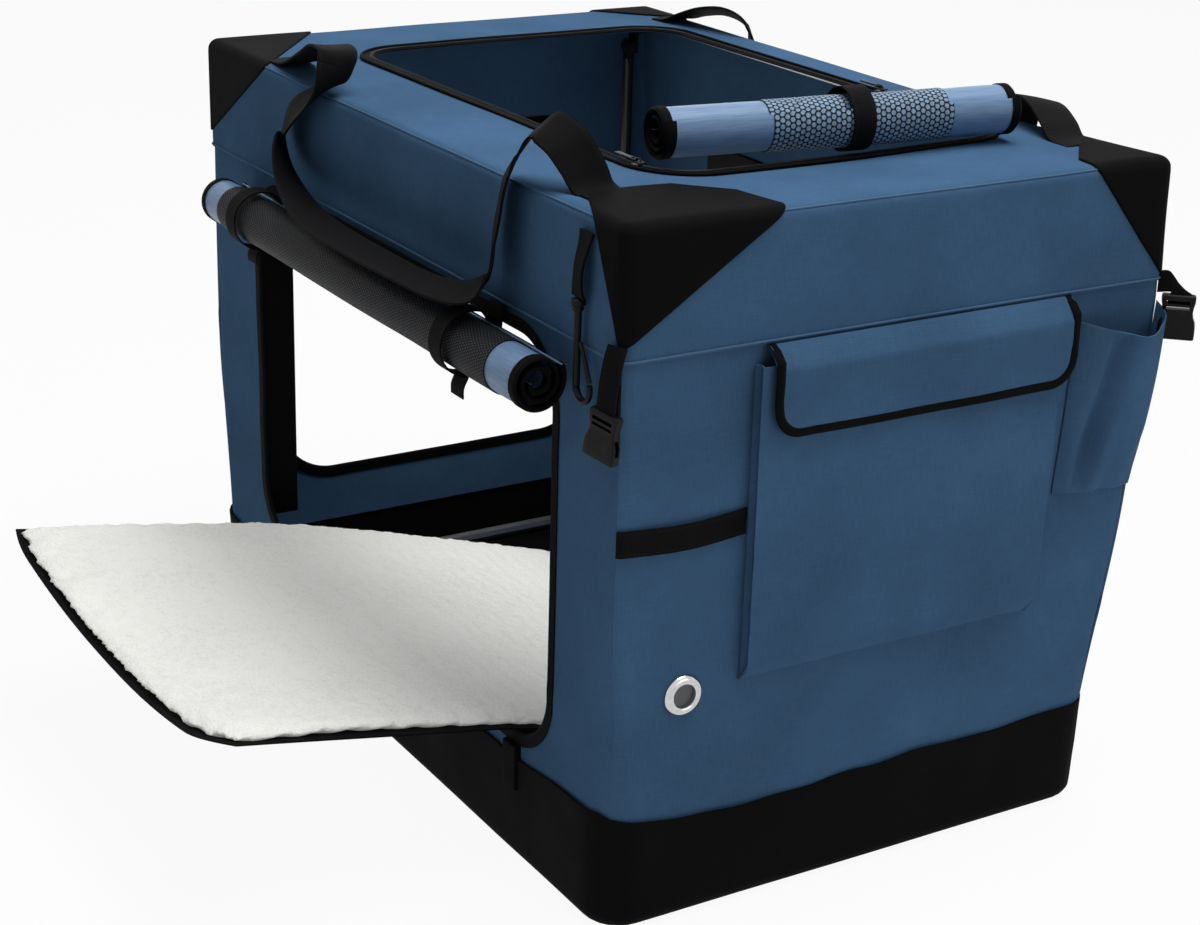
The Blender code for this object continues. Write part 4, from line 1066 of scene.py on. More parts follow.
@dataclass
class BaseCover:
    """The black tray that the walls stand in, with its loose wavy top edge."""

    shell: Shell
    wardrobe: Wardrobe
    edge: float = 15 * MM
    lip: float = 100 * MM
    side_end: float = 0.4
    edge_end: float = 0.6

    def hem(self, side: Side, u: float) -> float:
        """Return the height of the tray's edge along a wall."""
        sway = lump(u * 4.0, side.value * 11.0, 0.3) * 9 * MM
        ripple = lump(u * 17.0, side.value * 7.0, 1.7) * 5 * MM
        ends = (abs(u) / self.shell.reach(side)) ** 3
        return self.lip - 5 * MM + sway + ripple * (1 - ends) + ends * 9 * MM

    def surface(self, share: float, depth: float) -> Vector:
        """Return the tray's outer surface: depth 0 at its hem, 1 at the middle of its floor."""
        side, u = self.shell.around(share)
        lift = 2.2 * MM + lump(u * 9.0, depth * 3.0, side.value * 5.0) * 1.6 * MM
        if depth < self.side_end:
            t = depth / self.side_end
            z = self.hem(side, u) * (1 - t) + self.edge * t
            fold = lump(u * 20, z * 9, side.value * 2.0) * 2.2 * MM * (1 - abs(2 * t - 1))
            return self.shell.point(side, u, z, (lift + fold) * (1 - 0.7 * t))
        if depth < self.edge_end:
            angle = (depth - self.side_end) / (self.edge_end - self.side_end) * math.pi / 2
            inset = self.edge * (1 - math.cos(angle)) - lift * 0.3
            return self.shell.point(side, u, self.edge * (1 - math.sin(angle)), -inset)
        rim = self.shell.point(side, u, 0.0, -self.edge + lift * 0.3)
        return rim.lerp(Vector((0, 0, 0)), (depth - self.edge_end) / (1 - self.edge_end))

    def build(self) -> None:
        """Make the tray and the small tab sewn on its side."""
        size = (self.shell.girth, 0.3)
        tray = cloth("base_tray", self.surface, 264, 36, size, joined=True, middle=Vector((0, 0, 0.2)))
        thicken(tray, 2.2 * MM, bevel=0.5 * MM)
        low = (-self.shell.half_x - 4.6 * MM, -258 * MM, 70 * MM)
        high = (-self.shell.half_x + 2 * MM, -236 * MM, 112 * MM)
        tab = bar_box("base_tab", low, high, 1.2 * MM)
        subdivide(tab, 3)
        self.wardrobe.dress(joined("base_tray", [tray, tab]), "black_cloth", "crate_base", "base_cover")


@dataclass(frozen=True)
class Doorway:
    """An opening in a wall, in the wall's own u and z."""

    centre: tuple[float, float]
    half: tuple[float, float]
    radius: float

    def at(self, share: float, grow: float = 0.0) -> tuple[float, float]:
        """Return a point of its outline."""
        return outline(share, self.half[0] + grow, self.half[1] + grow, self.radius + grow, self.centre)


@dataclass
class Walls:
    """The four soft walls with their bound openings and the window's net."""

    shell: Shell
    wardrobe: Wardrobe
    thickness: float = 1.8 * MM
    sunk: float = 1.4 * MM
    foot: float = 60 * MM
    top: float = 588 * MM
    tuck_start: float = 550 * MM
    tuck_slope: float = 0.12
    tape: float = 11 * MM
    door: Doorway = Doorway((10 * MM, 300 * MM), (290 * MM, 178 * MM), 55 * MM)
    rear_door: Doorway = Doorway((0.0, 300 * MM), (190 * MM, 178 * MM), 60 * MM)
    window: Doorway = Doorway((0.0, 327.5 * MM), (250 * MM, 137.5 * MM), 40 * MM)

    def face(self, side: Side, u: float, z: float, lift: float = 0.0) -> Vector:
        """Return a place on a wall's outer face."""
        tuck = max(0.0, z - self.tuck_start) * self.tuck_slope
        lift += self.shell.wave(side, u, z) - self.sunk - tuck
        return self.shell.leaning(self.shell.point(side, u, z, lift))

    def build(self) -> None:
        """Make the walls, their bindings and the net."""
        for side, name, opening in (
            (Side.FRONT, "front_wall", None), (Side.RIGHT, "right_wall", self.window),
            (Side.REAR, "rear_wall", self.rear_door), (Side.LEFT, "left_wall", self.door),
        ):
            self.make_wall(side, name, opening)
        for side, tag, opening in (
            (Side.LEFT, "left_door", self.door), (Side.REAR, "rear_door", self.rear_door),
            (Side.RIGHT, "window", self.window),
        ):
            self.bind(side, tag, opening)
        self.make_net()
        self.make_flange()

    def make_wall(self, side: Side, name: str, opening: Doorway | None) -> None:
        """Make one wall, laid out round its opening if it has one."""
        reach = self.shell.reach(side)
        high, low = self.top, self.foot
        mid = (0.0, (high + low) / 2)
        if opening:
            def place(s: float, t: float) -> Vector:
                x, z = opening.at(s)
                far_x, far_z = outline(s, reach, (high - low) / 2, 50 * MM, mid, square=True)
                return self.face(side, x + (far_x - x) * t, z + (far_z - z) * t)

            wall = cloth(f"{name}_cloth", place, 240, 16, (1.8, 0.25), joined=True)
            layer = wall.data.uv_layers[CLOTH_MAP].data
            for loop in wall.data.loops:
                co = wall.data.vertices[loop.vertex_index].co
                layer[loop.index].uv = (co.dot(side.along), co.z)
        else:
            def place(s: float, t: float) -> Vector:
                return self.face(side, (2 * s - 1) * reach, low + (high - low) * t)

            wall = cloth(f"{name}_cloth", place, 110, 110, (2 * reach, high - low))
        thicken(wall, self.thickness, lined=True)
        if side is Side.FRONT:
            self.cut_eyelet(wall)
        # Its inner side takes the lining painted near black as the shade inside the crate.
        self.wardrobe.dress(wall, "blue_cloth", "crate_base", name, inner="lining_in_painted_shade")

    def cut_eyelet(self, wall: Piece) -> None:
        """Cut the eyelet's hole in the front wall."""
        place = Vector((EYELET[0], -self.shell.half_y, EYELET[1]))
        bpy.ops.mesh.primitive_cylinder_add(
            vertices=32, radius=11.5 * MM, depth=40 * MM, location=place, rotation=(math.pi / 2, 0, 0)
        )
        cut(wall, bpy.context.object)

    def bind(self, side: Side, tag: str, opening: Doorway) -> None:
        """Make the tape that binds an opening's edge, folded over both faces."""
        half = self.thickness / 2

        def place(s: float, t: float) -> Vector:
            reach = abs(2 * t - 1)
            u, z = opening.at(s, -1.2 * MM + (self.tape + 1.2 * MM) * reach)
            lift = 1.3 * MM if t < 0.5 else -self.thickness - 1.3 * MM
            return self.face(side, u, z, -half + (lift + half) * min(1.0, reach * 5))

        run = 4 * (opening.half[0] + opening.half[1])
        tape = cloth(f"{tag}_tape", place, 220, 16, (run, 2 * self.tape), joined=True)
        thicken(tape, 0.8 * MM, 1, bevel=0.2 * MM)
        self.wardrobe.dress(tape, "black_tape", "crate_base", f"{tag}_binding")

    def make_flange(self) -> None:
        """Make the black cloth that wraps the post inside the left doorway's rear edge."""
        across = self.shell.half_x
        low, high = (-across + 3 * MM, 281 * MM, 128 * MM), (-across + 37 * MM, 285 * MM, 452 * MM)
        flange = bar_box("left_door_flange", low, high, 1.5 * MM)
        subdivide(flange, 3)
        self.wardrobe.dress(flange, "black_cloth", "crate_base", slot="black_tape")

    def make_net(self) -> None:
        """Make the window's net, sewn in a little past the opening."""
        half_u, half_z = (half + 9 * MM for half in self.window.half)

        def place(s: float, t: float) -> Vector:
            z = self.window.centre[1] + (2 * t - 1) * half_z
            return self.face(Side.RIGHT, (2 * s - 1) * half_u, z, -3.2 * MM)

        size = (2 * half_u, 2 * half_z)
        net = cloth("window_net", place, 60, 36, size)
        thicken(net, 0.8 * MM)
        self.wardrobe.dress(net, "window_net", "crate_base", "window_mesh")


@dataclass
class Roll:
    """A rolled-up panel: a wound sheet of lining with its net outside, bound ends and straps."""

    name: str
    node: str
    body: str
    centre: Vector
    along: Vector
    length: float
    radius: float
    wardrobe: Wardrobe
    net: tuple[float, float]
    straps: tuple[tuple[str, float, float], ...]
    net_finish: str = "door_net"
    riser: float = 0.0
    turns: float = 2.6
    net_turns: float = 1.12
    core: float = 8 * MM
    binding: float = 9 * MM
    start: float = 2.6

    def frame(self) -> tuple[Vector, Vector, Vector]:
        """Return the directions along the roll, level across it, and up."""
        along = self.along.normalized()
        up = (Z - along * Z.dot(along)).normalized()
        return along, up.cross(along), up

    def point(self, turn: float, share: float, lift: float = 0.0) -> Vector:
        """Return a place on the wound sheet, for turns from its outer edge and a share of its length."""
        along, across, up = self.frame()
        pitch = (self.radius - self.core) / self.turns
        place = self.centre + along * ((share - 0.5) * self.length)
        sway = lump(share * 5, turn * 1.7, self.length * 30) * 1.1 * MM
        radius = self.radius - 1.6 * MM - pitch * turn + lift + sway * (1 if turn < 1.2 else 0.4)
        angle = self.start + turn * math.tau
        return place + (across * math.cos(angle) + up * math.sin(angle)) * max(radius, 2 * MM)

    def build(self) -> None:
        """Make the wound sheet, its net, its bound ends and its straps."""
        rows = 20
        radii = [self.radius - (self.radius - self.core) * i / rows for i in range(rows)]
        size = (sum(math.tau * radius * self.turns / rows for radius in radii), self.length)
        wound = self.layer(
            "sheet", lambda s, t: self.point(s * self.turns, t), (150, 40), size, 1.6 * MM, 0.3 * MM
        )
        self.wardrobe.dress(wound, "blue_lining", self.body, self.node)
        low, high = self.net

        def sleeve(s: float, t: float) -> Vector:
            return self.point(s * self.net_turns, low + (high - low) * t, 1.5 * MM)

        size = (math.tau * self.radius * self.net_turns, (high - low) * self.length)
        net = self.layer("net", sleeve, (84, 60), size, 0.7 * MM)
        self.wardrobe.dress(net, self.net_finish, self.body)
        for tag, place in (("start", 0.0), ("end", 1.0)):
            self.bind(tag, place)
        for tag, place, tab in self.straps:
            self.strap(tag, place, tab)

    def layer(
        self, tag: str, place: Place, grid: tuple[int, int], size: tuple[float, float], thickness: float,
        bevel: float = 0.0,
    ) -> Piece:
        """Make one wound layer, whose outer turn faces away from the roll's middle.

        Args:
            tag: what the layer adds to the roll's name.
            place: gives the place for two shares from 0 to 1.
            grid: faces along each share.
            size: the cloth's width and length in metres.
            thickness: how thick it becomes.
            bevel: how much its rim is rounded.

        Returns:
            The closed layer.
        """
        piece = cloth(f"{self.name}_{tag}", place, *grid, size, middle=self.centre)
        along = self.frame()[0]
        total = 0.0
        for face in piece.data.polygons:
            arm = face.center - self.centre
            total += face.normal.dot(arm - along * arm.dot(along))
        if total < 0:
            turn_over(piece)
        return thicken(piece, thickness, 0, bevel=bevel)

    def bind(self, tag: str, place: float) -> None:
        """Make the tape bound over one end of the wound sheet."""
        inward = 1 - 2 * place
        share = self.binding / self.length

        def fold(s: float, t: float) -> Vector:
            reach = abs(2 * t - 1)
            lift = (1.5 * MM if t < 0.5 else -1.5 * MM) * min(1.0, reach * 5)
            return self.point(s * self.turns, place + inward * (share * reach - 0.8 * MM / self.length), lift)

        tape = self.layer(f"{tag}_tape", fold, (130, 10), (0.3, 2 * self.binding), 0.7 * MM)
        self.wardrobe.dress(tape, "black_tape", self.body)

    def strap(self, node: str, place: float, tab: float) -> None:
        """Make a strap loop with its riser to the seam and its hanging tab."""
        along, across, up = self.frame()
        middle = self.centre + along * place
        away = across if across.dot(-X - Y) > 0 else -across
        points = []
        count, meets = 48, 34
        for i in range(count + 1):
            angle = math.pi / 2 - math.tau * i / count
            radius = self.radius + 1.5 * MM + lump(i * 0.2, place * 9, 0) * 0.6 * MM
            points.append(middle + (away * math.cos(angle) + up * math.sin(angle)) * radius)
        if self.riser:
            wall = middle - away * (self.radius + 3.0 * MM)
            climb = [wall + up * self.riser, wall + up * (self.riser * 0.5) + away * 1 * MM]
            points = smooth_points(climb + points[meets:], 2)[:-1] + points[1:meets + 2]
        self.webbing(f"{node}_loop", points, node)
        if tab:
            low = middle - up * (self.radius + 2.2 * MM) + away * 2 * MM
            drop = -up * tab + away * tab * 0.25
            hang = smooth_points([low, low + drop * 0.5 + away * 2 * MM, low + drop], 6)
            self.webbing(f"{node}_tail", hang)

    def webbing(self, name: str, points: Sequence[Vector], *nodes: str) -> None:
        """Make narrow webbing along a line round the roll, and dress it."""
        strap = ribbon(name, points, [self.frame()[0]] * len(points), 21 * MM, 1.4 * MM)
        self.wardrobe.dress(strap, "narrow_webbing", self.body, *nodes, slot="black_tape")


@dataclass
class FrontPockets:
    """The big pocket with its flap, the bottle pocket, the elastic and the eyelet."""

    walls: Walls
    wardrobe: Wardrobe

    def face(self, x: float, z: float, lift: float) -> Vector:
        """Return a place off the front wall."""
        return self.walls.face(Side.FRONT, x, z, lift)

    def build(self) -> None:
        """Make each piece on the front wall."""
        self.make_big_pocket()
        self.make_flap()
        self.make_bottle_pocket()
        self.make_elastic()
        self.make_eyelet()

    def make_big_pocket(self) -> None:
        """Make the flat patch pocket with its folded side gussets."""
        left, right, low, high = -137 * MM, 163 * MM, 208 * MM, 478 * MM
        depth, gusset = 11 * MM, 0.12

        def place(s: float, t: float) -> Vector:
            z = low + (high - low) * t
            pressed = min(1.0, t * 14 + 0.12)
            fold = min(s, 1 - s) / gusset
            if fold < 1:
                tuck = 2 * MM * math.sin(math.pi * fold)
                x = left + tuck if s < 0.5 else right - tuck
                return self.face(x, z, (1.0 * MM + depth * fold) * pressed)
            run = (s - gusset) / (1 - 2 * gusset)
            swell = math.sin(math.pi * run) ** 0.5 * 1.5 + lump(run * 3, t * 3, 8) * 1.6
            z += (1 - min(1.0, t * 14)) * 1 * MM
            return self.face(left + (right - left) * run, z, (1.0 * MM + depth + swell * MM) * pressed)

        pocket = cloth("big_pocket", place, 100, 70, (right - left + 0.03, high - low))
        thicken(pocket, 1.2 * MM)
        self.wardrobe.dress(pocket, "blue_cloth", "crate_base", "front_pocket")
        foot = low + 4 * MM
        self.sew("big_pocket_stitches", (left + 3 * MM, foot), (right - 3 * MM, foot), 3.6 * MM)
        for tag, x in (("left", left - 2.2 * MM), ("right", right + 2.2 * MM)):
            self.sew(f"big_pocket_{tag}_stitches", (x, low), (x, high), 0.6 * MM)

    def sew(self, name: str, start: tuple[float, float], end: tuple[float, float], lift: float) -> None:
        """Make a row of stitches on the front between two points of x and z."""
        (x, z), (far_x, far_z) = start, end
        shares = [i / 40 for i in range(41)]
        points = [self.face(x + (far_x - x) * share, z + (far_z - z) * share, lift) for share in shares]
        self.wardrobe.dress(stitches(name, points, -Y), "blue_thread", "crate_base")

    def flap_point(self, s: float, t: float, lift: float = 0.0) -> Vector:
        """Return a place on the hanging flap, whose lower corners are round."""
        left, right, high, low = -127 * MM, 179 * MM, 493 * MM, 419 * MM
        radius = 26 * MM
        x = left + (right - left) * s
        corner = min(x - left, right - x)
        rise = radius - math.sqrt(max(0.0, radius**2 - (radius - corner) ** 2)) if corner < radius else 0.0
        stand = 2.4 * MM + 14.5 * MM * min(1.0, t * 4.0) ** 0.7
        sway = (lump(s * 4, t * 1.5, 21) * 2.2 + (2 * s - 1) ** 2 * 1.0) * MM * t
        return Vector((x, -self.walls.shell.half_y - stand - sway - lift, high + (low + rise - high) * t))

    def make_flap(self) -> None:
        """Make the flap with its black piping on three sides."""
        even = 0.35

        def eased(s: float) -> float:
            return even * s + (1 - even) * (0.5 - 0.5 * math.cos(math.pi * s))

        flap = cloth("flap_cloth", lambda s, t: self.flap_point(eased(s), t), 96, 26, (306 * MM, 76 * MM))
        thicken(flap, 2.2 * MM, lined=True)
        self.wardrobe.dress(flap, "blue_cloth", "pocket_flap", "pocket_flap", inner="blue_lining")
        shares = [(0.0, i / 12) for i in range(12)] + [(eased(i / 96), 1.0) for i in range(97)]
        shares += [(1.0, 1 - i / 12) for i in range(1, 13)]
        edge = [self.flap_point(s, t, 0.2 * MM) + Y * 1.3 * MM for s, t in shares]
        piping = self.wrap("flap_piping", edge, spot(26, 0, 470), 8.5 * MM, 3.6 * MM)
        self.wardrobe.dress(piping, "black_tape", "pocket_flap")

    def wrap(
        self, name: str, edge: Sequence[Vector], middle: Vector, width: float, thickness: float
    ) -> Piece:
        """Make tape folded over an edge that lies nearly in the front's plane.

        Args:
            name: the piece's name.
            edge: the edge's points.
            middle: a point on the cloth's side of the edge.
            width: how far the folded tape reaches across the edge.
            thickness: how thick the folded tape is.

        Returns:
            The closed tape.
        """
        count = len(edge)
        inward = []
        for i in range(count):
            step = edge[min(i + 1, count - 1)] - edge[max(i - 1, 0)]
            side = Vector((step.z, 0, -step.x)).normalized()
            inward.append(side if side.dot(Vector((middle.x, 0, middle.z)) - edge[i]) > 0 else -side)

        def place(s: float, t: float) -> Vector:
            i = round(s * (count - 1))
            angle = t * math.tau
            across = (0.5 - 0.5 * math.cos(angle)) * width - 1.2 * MM
            return edge[i] + inward[i] * across - Y * (thickness / 2) * math.sin(angle)

        tape = cloth(name, place, count - 1, 16, (length_of(edge), width), joined=True)
        with editing(tape):
            bpy.ops.mesh.select_non_manifold()
            bpy.ops.mesh.edge_face_add()
            bpy.ops.mesh.select_all(action="SELECT")
            bpy.ops.mesh.normals_make_consistent(inside=False)
        return tape

    def make_bottle_pocket(self) -> None:
        """Make the bottle pocket: a bulging patch with a sagging mouth."""
        left, right, low, high = 183 * MM, 252 * MM, 314 * MM, 468 * MM

        def place(s: float, t: float) -> Vector:
            bulge = math.sin(math.pi * s ** 1.45) ** 0.62
            taper = 0.25 + 0.75 * math.sin(math.pi / 2 * min(1.0, t * 1.2)) ** 0.9
            mouth = -30 * MM * bulge * s + 8 * MM * s - 3 * MM * math.sin(6.5 * s)
            sag = mouth * t**3
            x = left - 7 * MM * (1 - s) * (1 - t) + (right - left) * s
            pleat = lump(s * 4, t * 1.6, 5) * 9.0 * MM * bulge
            dent = math.exp(-(((s - 0.30 - 0.12 * t) / 0.09) ** 2))
            crease = dent * 15.0 * MM * math.sin(math.pi * t) ** 0.5
            lift = 1.5 * MM + 30 * MM * bulge * taper + pleat - crease
            return self.face(x, low + (high - low) * t + sag - 5 * MM * s * (1 - t), lift)

        pocket = cloth("bottle_pocket_cloth", place, 60, 50, (0.11, high - low))
        thicken(pocket, 1.3 * MM, bevel=0.3 * MM)
        self.wardrobe.dress(pocket, "blue_cloth", "crate_base", "bottle_pocket")

    def make_elastic(self) -> None:
        """Make the elastic band from the corner seam to the big pocket."""
        left, right, z, width = -256 * MM, -139 * MM, 349 * MM, 22 * MM
        reach = self.walls.shell.reach(Side.FRONT)

        def place(s: float, t: float) -> Vector:
            bow = math.sin(math.pi * s)
            height = z - width / 2 + width * t - 3 * MM * bow
            return self.face(-reach + (right + reach) * s, height, 2.0 * MM + 2.0 * MM * bow)

        band = cloth("elastic", place, 60, 8, (right - left, width))
        thicken(band, 1.4 * MM, 0, bevel=0.3 * MM)
        self.wardrobe.dress(band, "elastic_weave", "crate_base", "elastic_band")

    def make_eyelet(self) -> None:
        """Make the chromed eyelet, with a grey net-patterned disc behind its hole that is painted as the
        fleece seen in shade.
        """
        frame = Matrix.Translation(self.face(*EYELET, 1.2 * MM)) @ Matrix.Rotation(math.pi / 2, 4, "X")
        profile = [
            (10.4, -4.0), (10.2, 0.6), (10.6, 2.0), (11.8, 2.7), (13.4, 2.9), (15.2, 2.4), (16.8, 1.3),
            (17.6, 0.0), (17.4, -0.6), (13.0, -0.4), (11.6, -4.0), (10.4, -4.0),
        ]
        self.wardrobe.dress(turned("eyelet_ring", profile, frame, 64), "chrome", "crate_base", "eyelet")
        # The disc behind the hole is painted grey: painted shade, standing for the fleece seen in shadow
        # through it.
        disc = [(11.4, -3.2), (11.4, -3.8), (0.02, -3.8), (0.02, -3.2)]
        self.wardrobe.dress(turned("eyelet_net", disc, frame, 48), "painted_shade_net", "crate_base")


@dataclass(frozen=True)
class StrapRun:
    """A handle's route in rows of (out from the wall, along Y, over the top, twist in degrees)."""

    name: str
    mirror: int
    front: tuple[tuple[float, ...], ...]
    loop: tuple[tuple[float, ...], ...]
    rear: tuple[tuple[float, ...], ...]


NEAR_RUN = StrapRun(
    "near", 1,
    ((-36, -328, 0.2, 0), (-36, -308, 1.4, 0), (-33, -298, 6, 2), (-27, -290, 22, 8), (-18, -279, 39, 15),
     (-9, -262, 46, 28)),
    ((0, -247, 28, 46), (7, -243, 13, 55), (12, -240, -2, 60), (14, -236, -24, 62), (17, -233, -48, 62),
     (22, -236, -72, 58), (30, -232, -86, 40), (40, -205, -94, 15), (46, -150, -97, 0), (47, -60, -98, 0),
     (46, 10, -98, 0), (43, 55, -96, -5), (38, 95, -89, -18), (30, 135, -78, -35), (22, 165, -64, -52),
     (16, 178, -48, -62), (14, 168, -31, -62), (12, 140, -14, -50), (9, 114, -2, -32), (4, 98, 12, -18),
     (0, 96, 28, -10)),
    ((-6, 105, 40, -6), (-13, 138, 39, -4), (-19, 175, 26, -2), (-24, 215, 11, 0), (-27, 245, 3, 0),
     (-28, 262, 1.4, 0), (-28, 282, 0.2, 0)),
)
FAR_RUN = StrapRun(
    "far", -1,
    ((-22, -338, 0.2, 0), (-21, -314, 1.6, 0), (-15, -294, 12, 0), (-8, -270, 21, 5), (-3, -248, 22, 15),
     (0, -234, 14, 30)),
    ((4, -222, 6, 44), (9, -214, -8, 58), (12, -208, -28, 64), (13, -204, -50, 66), (13, -199, -75, 66),
     (12, -187, -100, 70), (10, -162, -118, 77), (9, -120, -126, 82), (8, -60, -128, 84), (8, 0, -128, 84),
     (8, 70, -127, 84), (9, 130, -122, 82), (10, 170, -107, 80), (10, 190, -85, 82), (10, 199, -60, 82),
     (10, 202, -35, 78), (9, 204, -14, 70), (4, 207, 6, 54)),
    ((0, 213, 14, 42), (-5, 230, 19, 28), (-11, 256, 18, 14), (-17, 282, 11, 5), (-21, 304, 3, 0),
     (-22, 326, 0.2, 0)),
)


@dataclass
class Handles:
    """The two webbing carry handles and their sewn ends."""

    shell: Shell
    wardrobe: Wardrobe
    width: float = 38 * MM
    thickness: float = 2.2 * MM
    steps: int = 6

    def build(self) -> None:
        """Make both handles, each as a loop between two sewn ends."""
        for run in (NEAR_RUN, FAR_RUN):
            self.make_strap(run)

    def make_strap(self, run: StrapRun) -> None:
        """Make one handle's three pieces from its one smooth route."""
        rows = run.front + run.loop + run.rear
        edge, top = -self.shell.half_x, self.shell.height
        route = [Vector((edge - out * MM, y * MM, top + up * MM)) for out, y, up, _ in rows]
        points = smooth_points(route, self.steps)
        twists = smooth_points([Vector((math.radians(row[-1]), 0, 0)) for row in rows], self.steps)
        sides = [self.side(points, i, twist.x) for i, twist in enumerate(twists)]
        first = self.steps * len(run.front)
        last = first + self.steps * (len(run.loop) - 1)
        flip = Vector((run.mirror, 1, 1))
        for part, body, start, end in (
            ("handle", f"{run.name}_handle", first, last), ("handle_stub_front", "top_frame", 0, first),
            ("handle_stub_rear", "top_frame", last, len(points) - 1),
        ):
            line, widths = ([v * flip for v in vectors[start:end + 1]] for vectors in (points, sides))
            name = f"{run.name}_{part}"
            strap = ribbon(f"{name}_webbing", line, widths, self.width, self.thickness, crown=0.8 * MM)
            self.wardrobe.dress(strap, "black_webbing", body, name)

    def side(self, points: Sequence[Vector], i: int, twist: float) -> Vector:
        """Return the strap's width direction at a point: along X, square to its run, turned by a twist."""
        run = (points[min(i + 1, len(points) - 1)] - points[max(i - 1, 0)]).normalized()
        level = (X - X.dot(run) * run).normalized()
        return math.cos(twist) * level + math.sin(twist) * level.cross(run)


@dataclass
class Fittings:
    """The snap hook, the two half buckles and the zip sliders."""

    shell: Shell
    wardrobe: Wardrobe

    def build(self) -> None:
        """Make each fitting."""
        self.make_hook()
        self.make_near_buckle()
        self.make_right_buckle()
        self.make_slider("left", -1, -250 * MM)
        self.make_slider("right", 1, -95 * MM)

    def make_hook(self) -> None:
        """Make the hook's strap, its swivel and bent body, and its gate."""
        x, y = -self.shell.half_x - 8 * MM, -350 * MM

        def at(across: float, back: float, z: float) -> Vector:
            return Vector((x + across * MM, y + back * MM, z * MM))

        line = [at(4.8, -3, 587), at(3.8, 0, 575), at(-0.2, 0, 560), at(-1, 0, 545), at(0, 0, 535.5)]
        points = smooth_points(line, 6)
        sides = [(Y + X * 0.25 * math.sin(i * 0.12)).normalized() for i in range(len(points))]
        strap = ribbon("hook_webbing", points, sides, 20 * MM, 2.2 * MM)
        self.wardrobe.dress(strap, "narrow_webbing", "hook_strap", "hook_strap", slot="black_webbing")
        profile = [
            (0.02, 7.0), (3.6, 7.0), (5.4, 6.2), (6.0, 5.0), (6.0, 2.0), (4.6, 0.6), (4.6, -1.5), (3.6, -3.2),
            (0.02, -3.4),
        ]
        swivel = turned("hook_swivel_body", profile, Matrix.Translation((x, y, 528 * MM)), 28)
        bends = [math.pi * i / 10 for i in range(1, 11)]
        path = [at(0, 0, 526), at(0, 0, 514), at(0, 0, 502), at(0, 0, 466)]
        path += [at(0, -10 + 10 * math.cos(bend), 466 - 10 * math.sin(bend)) for bend in bends]
        smooth = smooth_points([*path, at(0, -20, 471)], 3)
        radii = [1.15 - 0.3 * i / len(smooth) for i in range(len(smooth))]
        hook = tube("hook_wire", smooth, 2.7 * MM, sides=4, radii=radii)
        whole = joined("hook_body", [swivel, hook])
        self.wardrobe.dress(whole, "black_plastic", "snap_hook", "snap_hook")
        bar = smooth_points([at(0, -19.6, 473), at(0, -12, 488), at(0, -5, 501.5)], 6)
        self.wardrobe.dress(tube("hook_gate_bar", bar, 1.7 * MM), "black_plastic", "hook_gate", "hook_gate")

    def buckle(self, node: str, frame: Matrix, middle: float, top: float) -> None:
        """Make the socket half of a side-release buckle.

        Args:
            node: the node and the body that it stands for.
            frame: its frame, with Y up and Z square to its face.
            middle: its middle along the frame's X.
            top: its top along the frame's Y.
        """
        half, tall = 16.0, 40.0

        def block(
            part: str, left: float, right: float, drops: tuple[float, float], deep: float, bevel: float = 0.3
        ) -> Piece:
            low = (middle + left * MM, top - drops[1] * MM, -deep * MM)
            high = (middle + right * MM, top - drops[0] * MM, deep * MM)
            return bar_box(f"{node}_{part}", low, high, bevel * MM, frame)

        def waisted(co: Vector) -> Vector:
            local = back @ co
            down = (top - local.y) / (tall * MM)
            waist = math.exp(-(((down - 0.42) / 0.14) ** 2))
            step = 0.10 if down < 0.28 else 0.0
            local.x = middle + (local.x - middle) * (1 - 0.20 * waist - step)
            local.z *= 1 - 0.25 * waist
            return frame @ local

        back = frame.inverted()
        body = block("body", -half, half, (0, tall), 4.5, 2.0)
        subdivide(body, 3)
        shape(body, waisted)
        inner, outer = half * 0.62, half * 1.3
        gap = (tall * 0.48, tall * 0.8)
        for tool in (
            block("mouth", -half * 0.72, half * 0.72, (tall * 0.5, tall + 5), 2.4),
            block("slot", -inner, inner, (5, 8), 9), block("slot_low", -inner, inner, (10.5, 13), 9),
            block("left_gap", -outer, -inner, gap, 2), block("right_gap", inner, outer, gap, 2),
        ):
            cut(body, tool)
        self.wardrobe.dress(body, "black_plastic", node, node, angle=30)

    def buckle_strap(self, node: str, line: Sequence[Vector], sides: Sequence[Vector]) -> None:
        """Make a buckle's own webbing along a line, with its width direction at each point."""
        points = smooth_points(line, 6)
        widths = [side.normalized() for side in smooth_points(sides, 6)]
        strap = ribbon(f"{node}_webbing", points, widths, 19 * MM, 1.6 * MM)
        self.wardrobe.dress(strap, "narrow_webbing", node, slot="black_webbing")

    def make_near_buckle(self) -> None:
        """Make the half buckle that hangs flat at the near corner, turned a little on its strap."""
        shell = self.shell
        outward = Vector((-0.96, -0.28, 0)).normalized()
        corner = Vector((-shell.half_x, -shell.half_y, shell.band_seam))
        place = corner + spot(-2.5, 1.0, 15)
        along = Z.cross(outward)
        lean = Matrix.Rotation(math.radians(-9), 4, outward)
        frame = Matrix.Translation(place) @ lean @ Matrix((along, Z, outward)).transposed().to_4x4()
        self.buckle("near_buckle", frame, 0.0, -54 * MM)
        drops = (
            (0, -0.5), (-10, 1.5), (-26, 2.6), (-44, 2.0), (-60.5, 1.2), (-62.4, 0), (-59, -1.6), (-44, -1.4),
            (-30, 0.2),
        )
        self.buckle_strap("near_buckle", [frame @ spot(0, *drop) for drop in drops], [along] * len(drops))

